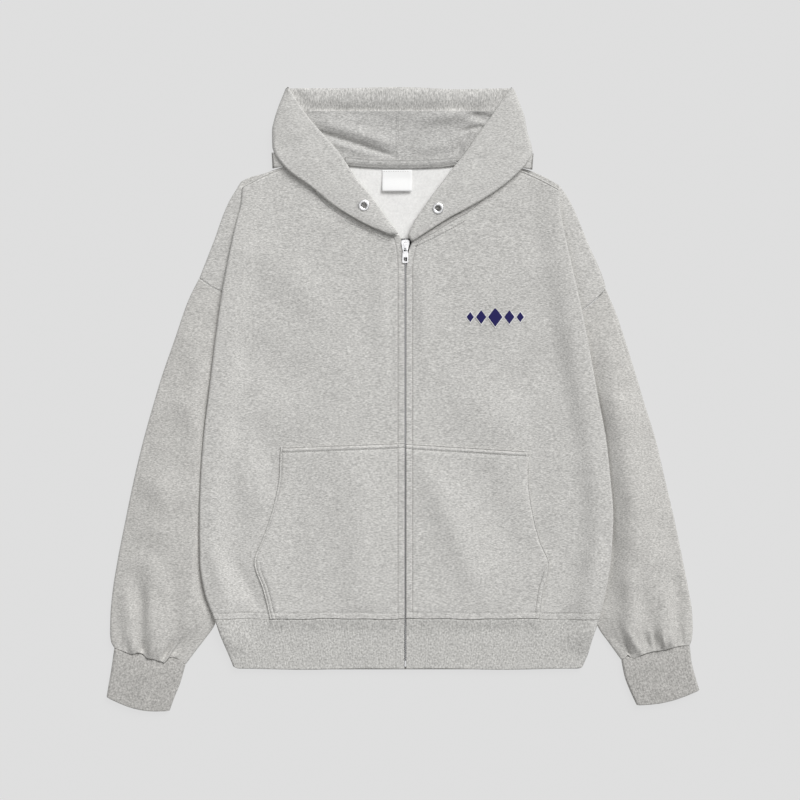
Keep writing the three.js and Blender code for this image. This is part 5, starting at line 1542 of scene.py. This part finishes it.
class HOODIE_OT_pockets(bpy.types.Operator):
    """Make both pockets and their stitching"""

    bl_idname = "hoodie.pockets"
    bl_label = "Pockets"

    def execute(self, context):
        for name, part in SIDES:
            points, detail = pocket_face(part)
            mesh = handed(part, points, POCKET_CLOTH, -1, detail=detail)
            cloth_for("pocket_" + name, mesh, ["heather_fleece"])
            face = placed(part, points) - (0, 0, POCKET_SINK)
            top_row = np.argmin(np.abs(points[-1, 0, 1] - points[:, 0, 1] - POCKET_STITCH))
            side = np.argmin(np.abs(points[0, -1, 0] - points[0, :, 0] - POCKET_STITCH))
            hem_row, placket = hem_stitch_row(points), placket_column(part)
            opening_row = np.argmin(np.abs(points[:, 0, 1] - part["opening_y"]))
            lines = [face[top_row, placket:], face[hem_row:opening_row, side],
                     face[hem_row, placket:side + 1], face[hem_row:, placket]]
            thread("pocket_" + name + "_stitching", lines)
        return {"FINISHED"}


class HOODIE_OT_zip(bpy.types.Operator):
    """Make the zip: its tapes, teeth, slider, pull tab and bottom stop"""

    bl_idname = "hoodie.zip"
    bl_label = "Zip"

    def execute(self, context):
        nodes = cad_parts
        for name in ("left", "right"):
            self.finish_node(nodes["zip_tape_" + name], "zip_cloth", "zip_tape", 0)
        for name in ("zip_slider", "zip_pull", "zip_stop"):
            self.finish_node(nodes[name], "nickel", "zip_metal", 0.25 * MM)
        self.teeth(context)
        return {"FINISHED"}

    def finish_node(self, node, cloth, slot, bevel):
        """Give one of the zip's own solids its finish, and round its edges by the bevel."""
        for place in node.material_slots:
            place.material = material(cloth)
        if bevel:
            rounded = node.modifiers.new("rounded edges", "BEVEL")
            rounded.width = bevel
            rounded.segments = 2
            rounded.limit_method = "ANGLE"

    def teeth(self, context):
        """Two rows of teeth that mesh between the fronts."""
        pitch = context.scene.hoodie_sizes.tooth_pitch / MM
        parts = []
        for hand in (-1, 1):
            start = ZIP_BOTTOM_Y + 1 + (pitch / 2 if hand > 0 else 0)
            for y in np.arange(start, ZIP_TOP_Y - 1, pitch):
                x0, x1 = sorted((ZIP_X - TOOTH_PAST * hand, ZIP_X + ZIP_GAP * hand))
                low, high = y - TOOTH_HALF, y + TOOTH_HALF
                parts.append(box_mesh(x0, x1, low, high, TOOTH_LOW, TOOTH_HIGH))
        chain = add_object("zip_teeth", joined(parts), [material("zip_teeth_metal")], False)
        stand_for(chain, None)


class HOODIE_OT_badge(bpy.types.Operator):
    """Embroider the row of small diamonds on the chest"""

    bl_idname = "hoodie.badge"
    bl_label = "Chest Badge"

    def execute(self, context):
        shapes = ((-32, 6.5), (-18, 9), (0, 12.5), (18, 9), (32, 6.5))
        for name, grow, level, cloth in (("border", 1.7, 0.3, "badge_border"),
                                         ("fill", 0.0, 0.65, "badge_thread")):
            parts = [self.diamond(BADGE_X + x, half + grow, level) for x, half in shapes]
            made = add_object("chest_badge_" + name, joined(parts), [material(cloth)], False)
            stand_for(made, None)
        return {"FINISHED"}

    def diamond(self, x, half, height):
        """A raised diamond of satin stitches that follows the front."""
        width = half * 0.74
        outline = np.array([(0, -half), (width, 0), (0, half), (-width, 0)])
        inner = outline * (1 - 0.5 / half)
        level = FRONT_TOP + float(front_relief(RIGHT, x, BADGE_Y))
        rings = []
        for corners, z in ((outline, -0.3), (outline, height * 0.6), (inner, height)):
            rings.append(np.column_stack([corners + (x, BADGE_Y), np.full(4, level + z)]))
        faces = [(8, 9, 10, 11), (3, 2, 1, 0)]
        for k in range(4):
            n = (k + 1) % 4
            faces += [(k, n, 4 + n, 4 + k), (4 + k, 4 + n, 8 + n, 8 + k)]
        return np.vstack(rings), np.array(faces)


class HOODIE_OT_stage(bpy.types.Operator):
    """Make the plain floor, the soft studio light and the camera"""

    bl_idname = "hoodie.stage"
    bl_label = "Floor, Light and Camera"

    def execute(self, context):
        scene = context.scene
        corners = np.array([(-1, -1, 0), (1, -1, 0), (1, 1, 0), (-1, 1, 0)]) * FLOOR_HALF
        floor = add_object("floor", (corners - (0, 0, FLOOR_DROP), np.array([(0, 1, 2, 3)])),
                           [self.paper(scene.hoodie_colours.floor)])
        world = bpy.data.worlds.new("studio")
        world.use_nodes = True
        ambient = world.node_tree.nodes["Background"]
        ambient.inputs["Color"].default_value = (1.0, 1.0, 1.0, 1)
        ambient.inputs["Strength"].default_value = AMBIENT
        scene.world = world
        key = bpy.data.lights.new("key_light", "SUN")
        key.energy = SUN_POWER
        key.angle = math.radians(SUN_SPREAD)
        lamp = bpy.data.objects.new("key_light", key)
        lamp.rotation_euler = (math.radians(SUN_TILT[0]), math.radians(SUN_TILT[1]), 0)
        scene.collection.objects.link(lamp)
        box = bpy.data.lights.new("soft_box", "AREA")
        box.size = 1.0
        box.energy = SOFT_BOX_POWER
        above = bpy.data.objects.new("soft_box", box)
        above.location = (0.0, 0.0, SOFT_BOX_HEIGHT)
        scene.collection.objects.link(above)
        view = bpy.data.cameras.new("camera")
        view.lens = LENS
        view.sensor_width = 36
        view.clip_start, view.clip_end = 0.1, 30
        camera = bpy.data.objects.new("camera", view)
        camera.location = CAMERA_PLACE
        scene.collection.objects.link(camera)
        scene.camera = camera
        scene.view_settings.view_transform = "Standard"
        return {"FINISHED"}

    def paper(self, colour):
        """Pale paper lit from behind, so that only a faint shadow falls on it."""
        paper, tree, shader = shader_of("studio_floor", colour, 1.0)
        glow = tree.nodes.new("ShaderNodeEmission")
        glow.inputs["Color"].default_value = (1, 1, 1, 1)
        glow.inputs["Strength"].default_value = FLOOR_GLOW
        both = tree.nodes.new("ShaderNodeMixShader")
        both.inputs["Fac"].default_value = FLOOR_GLOW_SHARE
        tree.links.new(shader.outputs["BSDF"], both.inputs[1])
        tree.links.new(glow.outputs["Emission"], both.inputs[2])
        output = tree.nodes["Material Output"]
        tree.links.new(both.outputs["Shader"], output.inputs["Surface"])
        return paper


OPERATORS = (
    HOODIE_OT_fronts, HOODIE_OT_back, HOODIE_OT_sleeves, HOODIE_OT_rib, HOODIE_OT_hood,
    HOODIE_OT_lining, HOODIE_OT_pockets, HOODIE_OT_zip, HOODIE_OT_badge, HOODIE_OT_stage,
)


class HOODIE_PT_panel(bpy.types.Panel):
    """Sizes, colours and the steps that build the hoodie"""

    bl_idname = "HOODIE_PT_panel"
    bl_label = "Zip Up Hoodie"
    bl_space_type = "VIEW_3D"
    bl_region_type = "UI"
    bl_category = "Hoodie"

    def draw(self, context):
        for group in (context.scene.hoodie_sizes, context.scene.hoodie_colours):
            column = self.layout.column(align=True)
            for key in group.bl_rna.properties.keys():
                if key not in ("rna_type", "name"):
                    column.prop(group, key)
        for operator in OPERATORS:
            self.layout.operator(operator.bl_idname)


CLASSES = (HoodieSizes, HoodieColours, *OPERATORS, HOODIE_PT_panel)


def register():
    for made in CLASSES:
        bpy.utils.register_class(made)
    bpy.types.Scene.hoodie_sizes = bpy.props.PointerProperty(type=HoodieSizes)
    bpy.types.Scene.hoodie_colours = bpy.props.PointerProperty(type=HoodieColours)


def unregister():
    del bpy.types.Scene.hoodie_colours
    del bpy.types.Scene.hoodie_sizes
    for made in reversed(CLASSES):
        bpy.utils.unregister_class(made)


def main():
    """Register the add-on and build every piece in order."""
    register()
    bpy.ops.hoodie.fronts()
    bpy.ops.hoodie.back()
    bpy.ops.hoodie.sleeves()
    bpy.ops.hoodie.rib()
    bpy.ops.hoodie.hood()
    bpy.ops.hoodie.lining()
    bpy.ops.hoodie.pockets()
    bpy.ops.hoodie.zip()
    bpy.ops.hoodie.badge()
    bpy.ops.hoodie.stage()


if __name__ == "__main__":
    main()
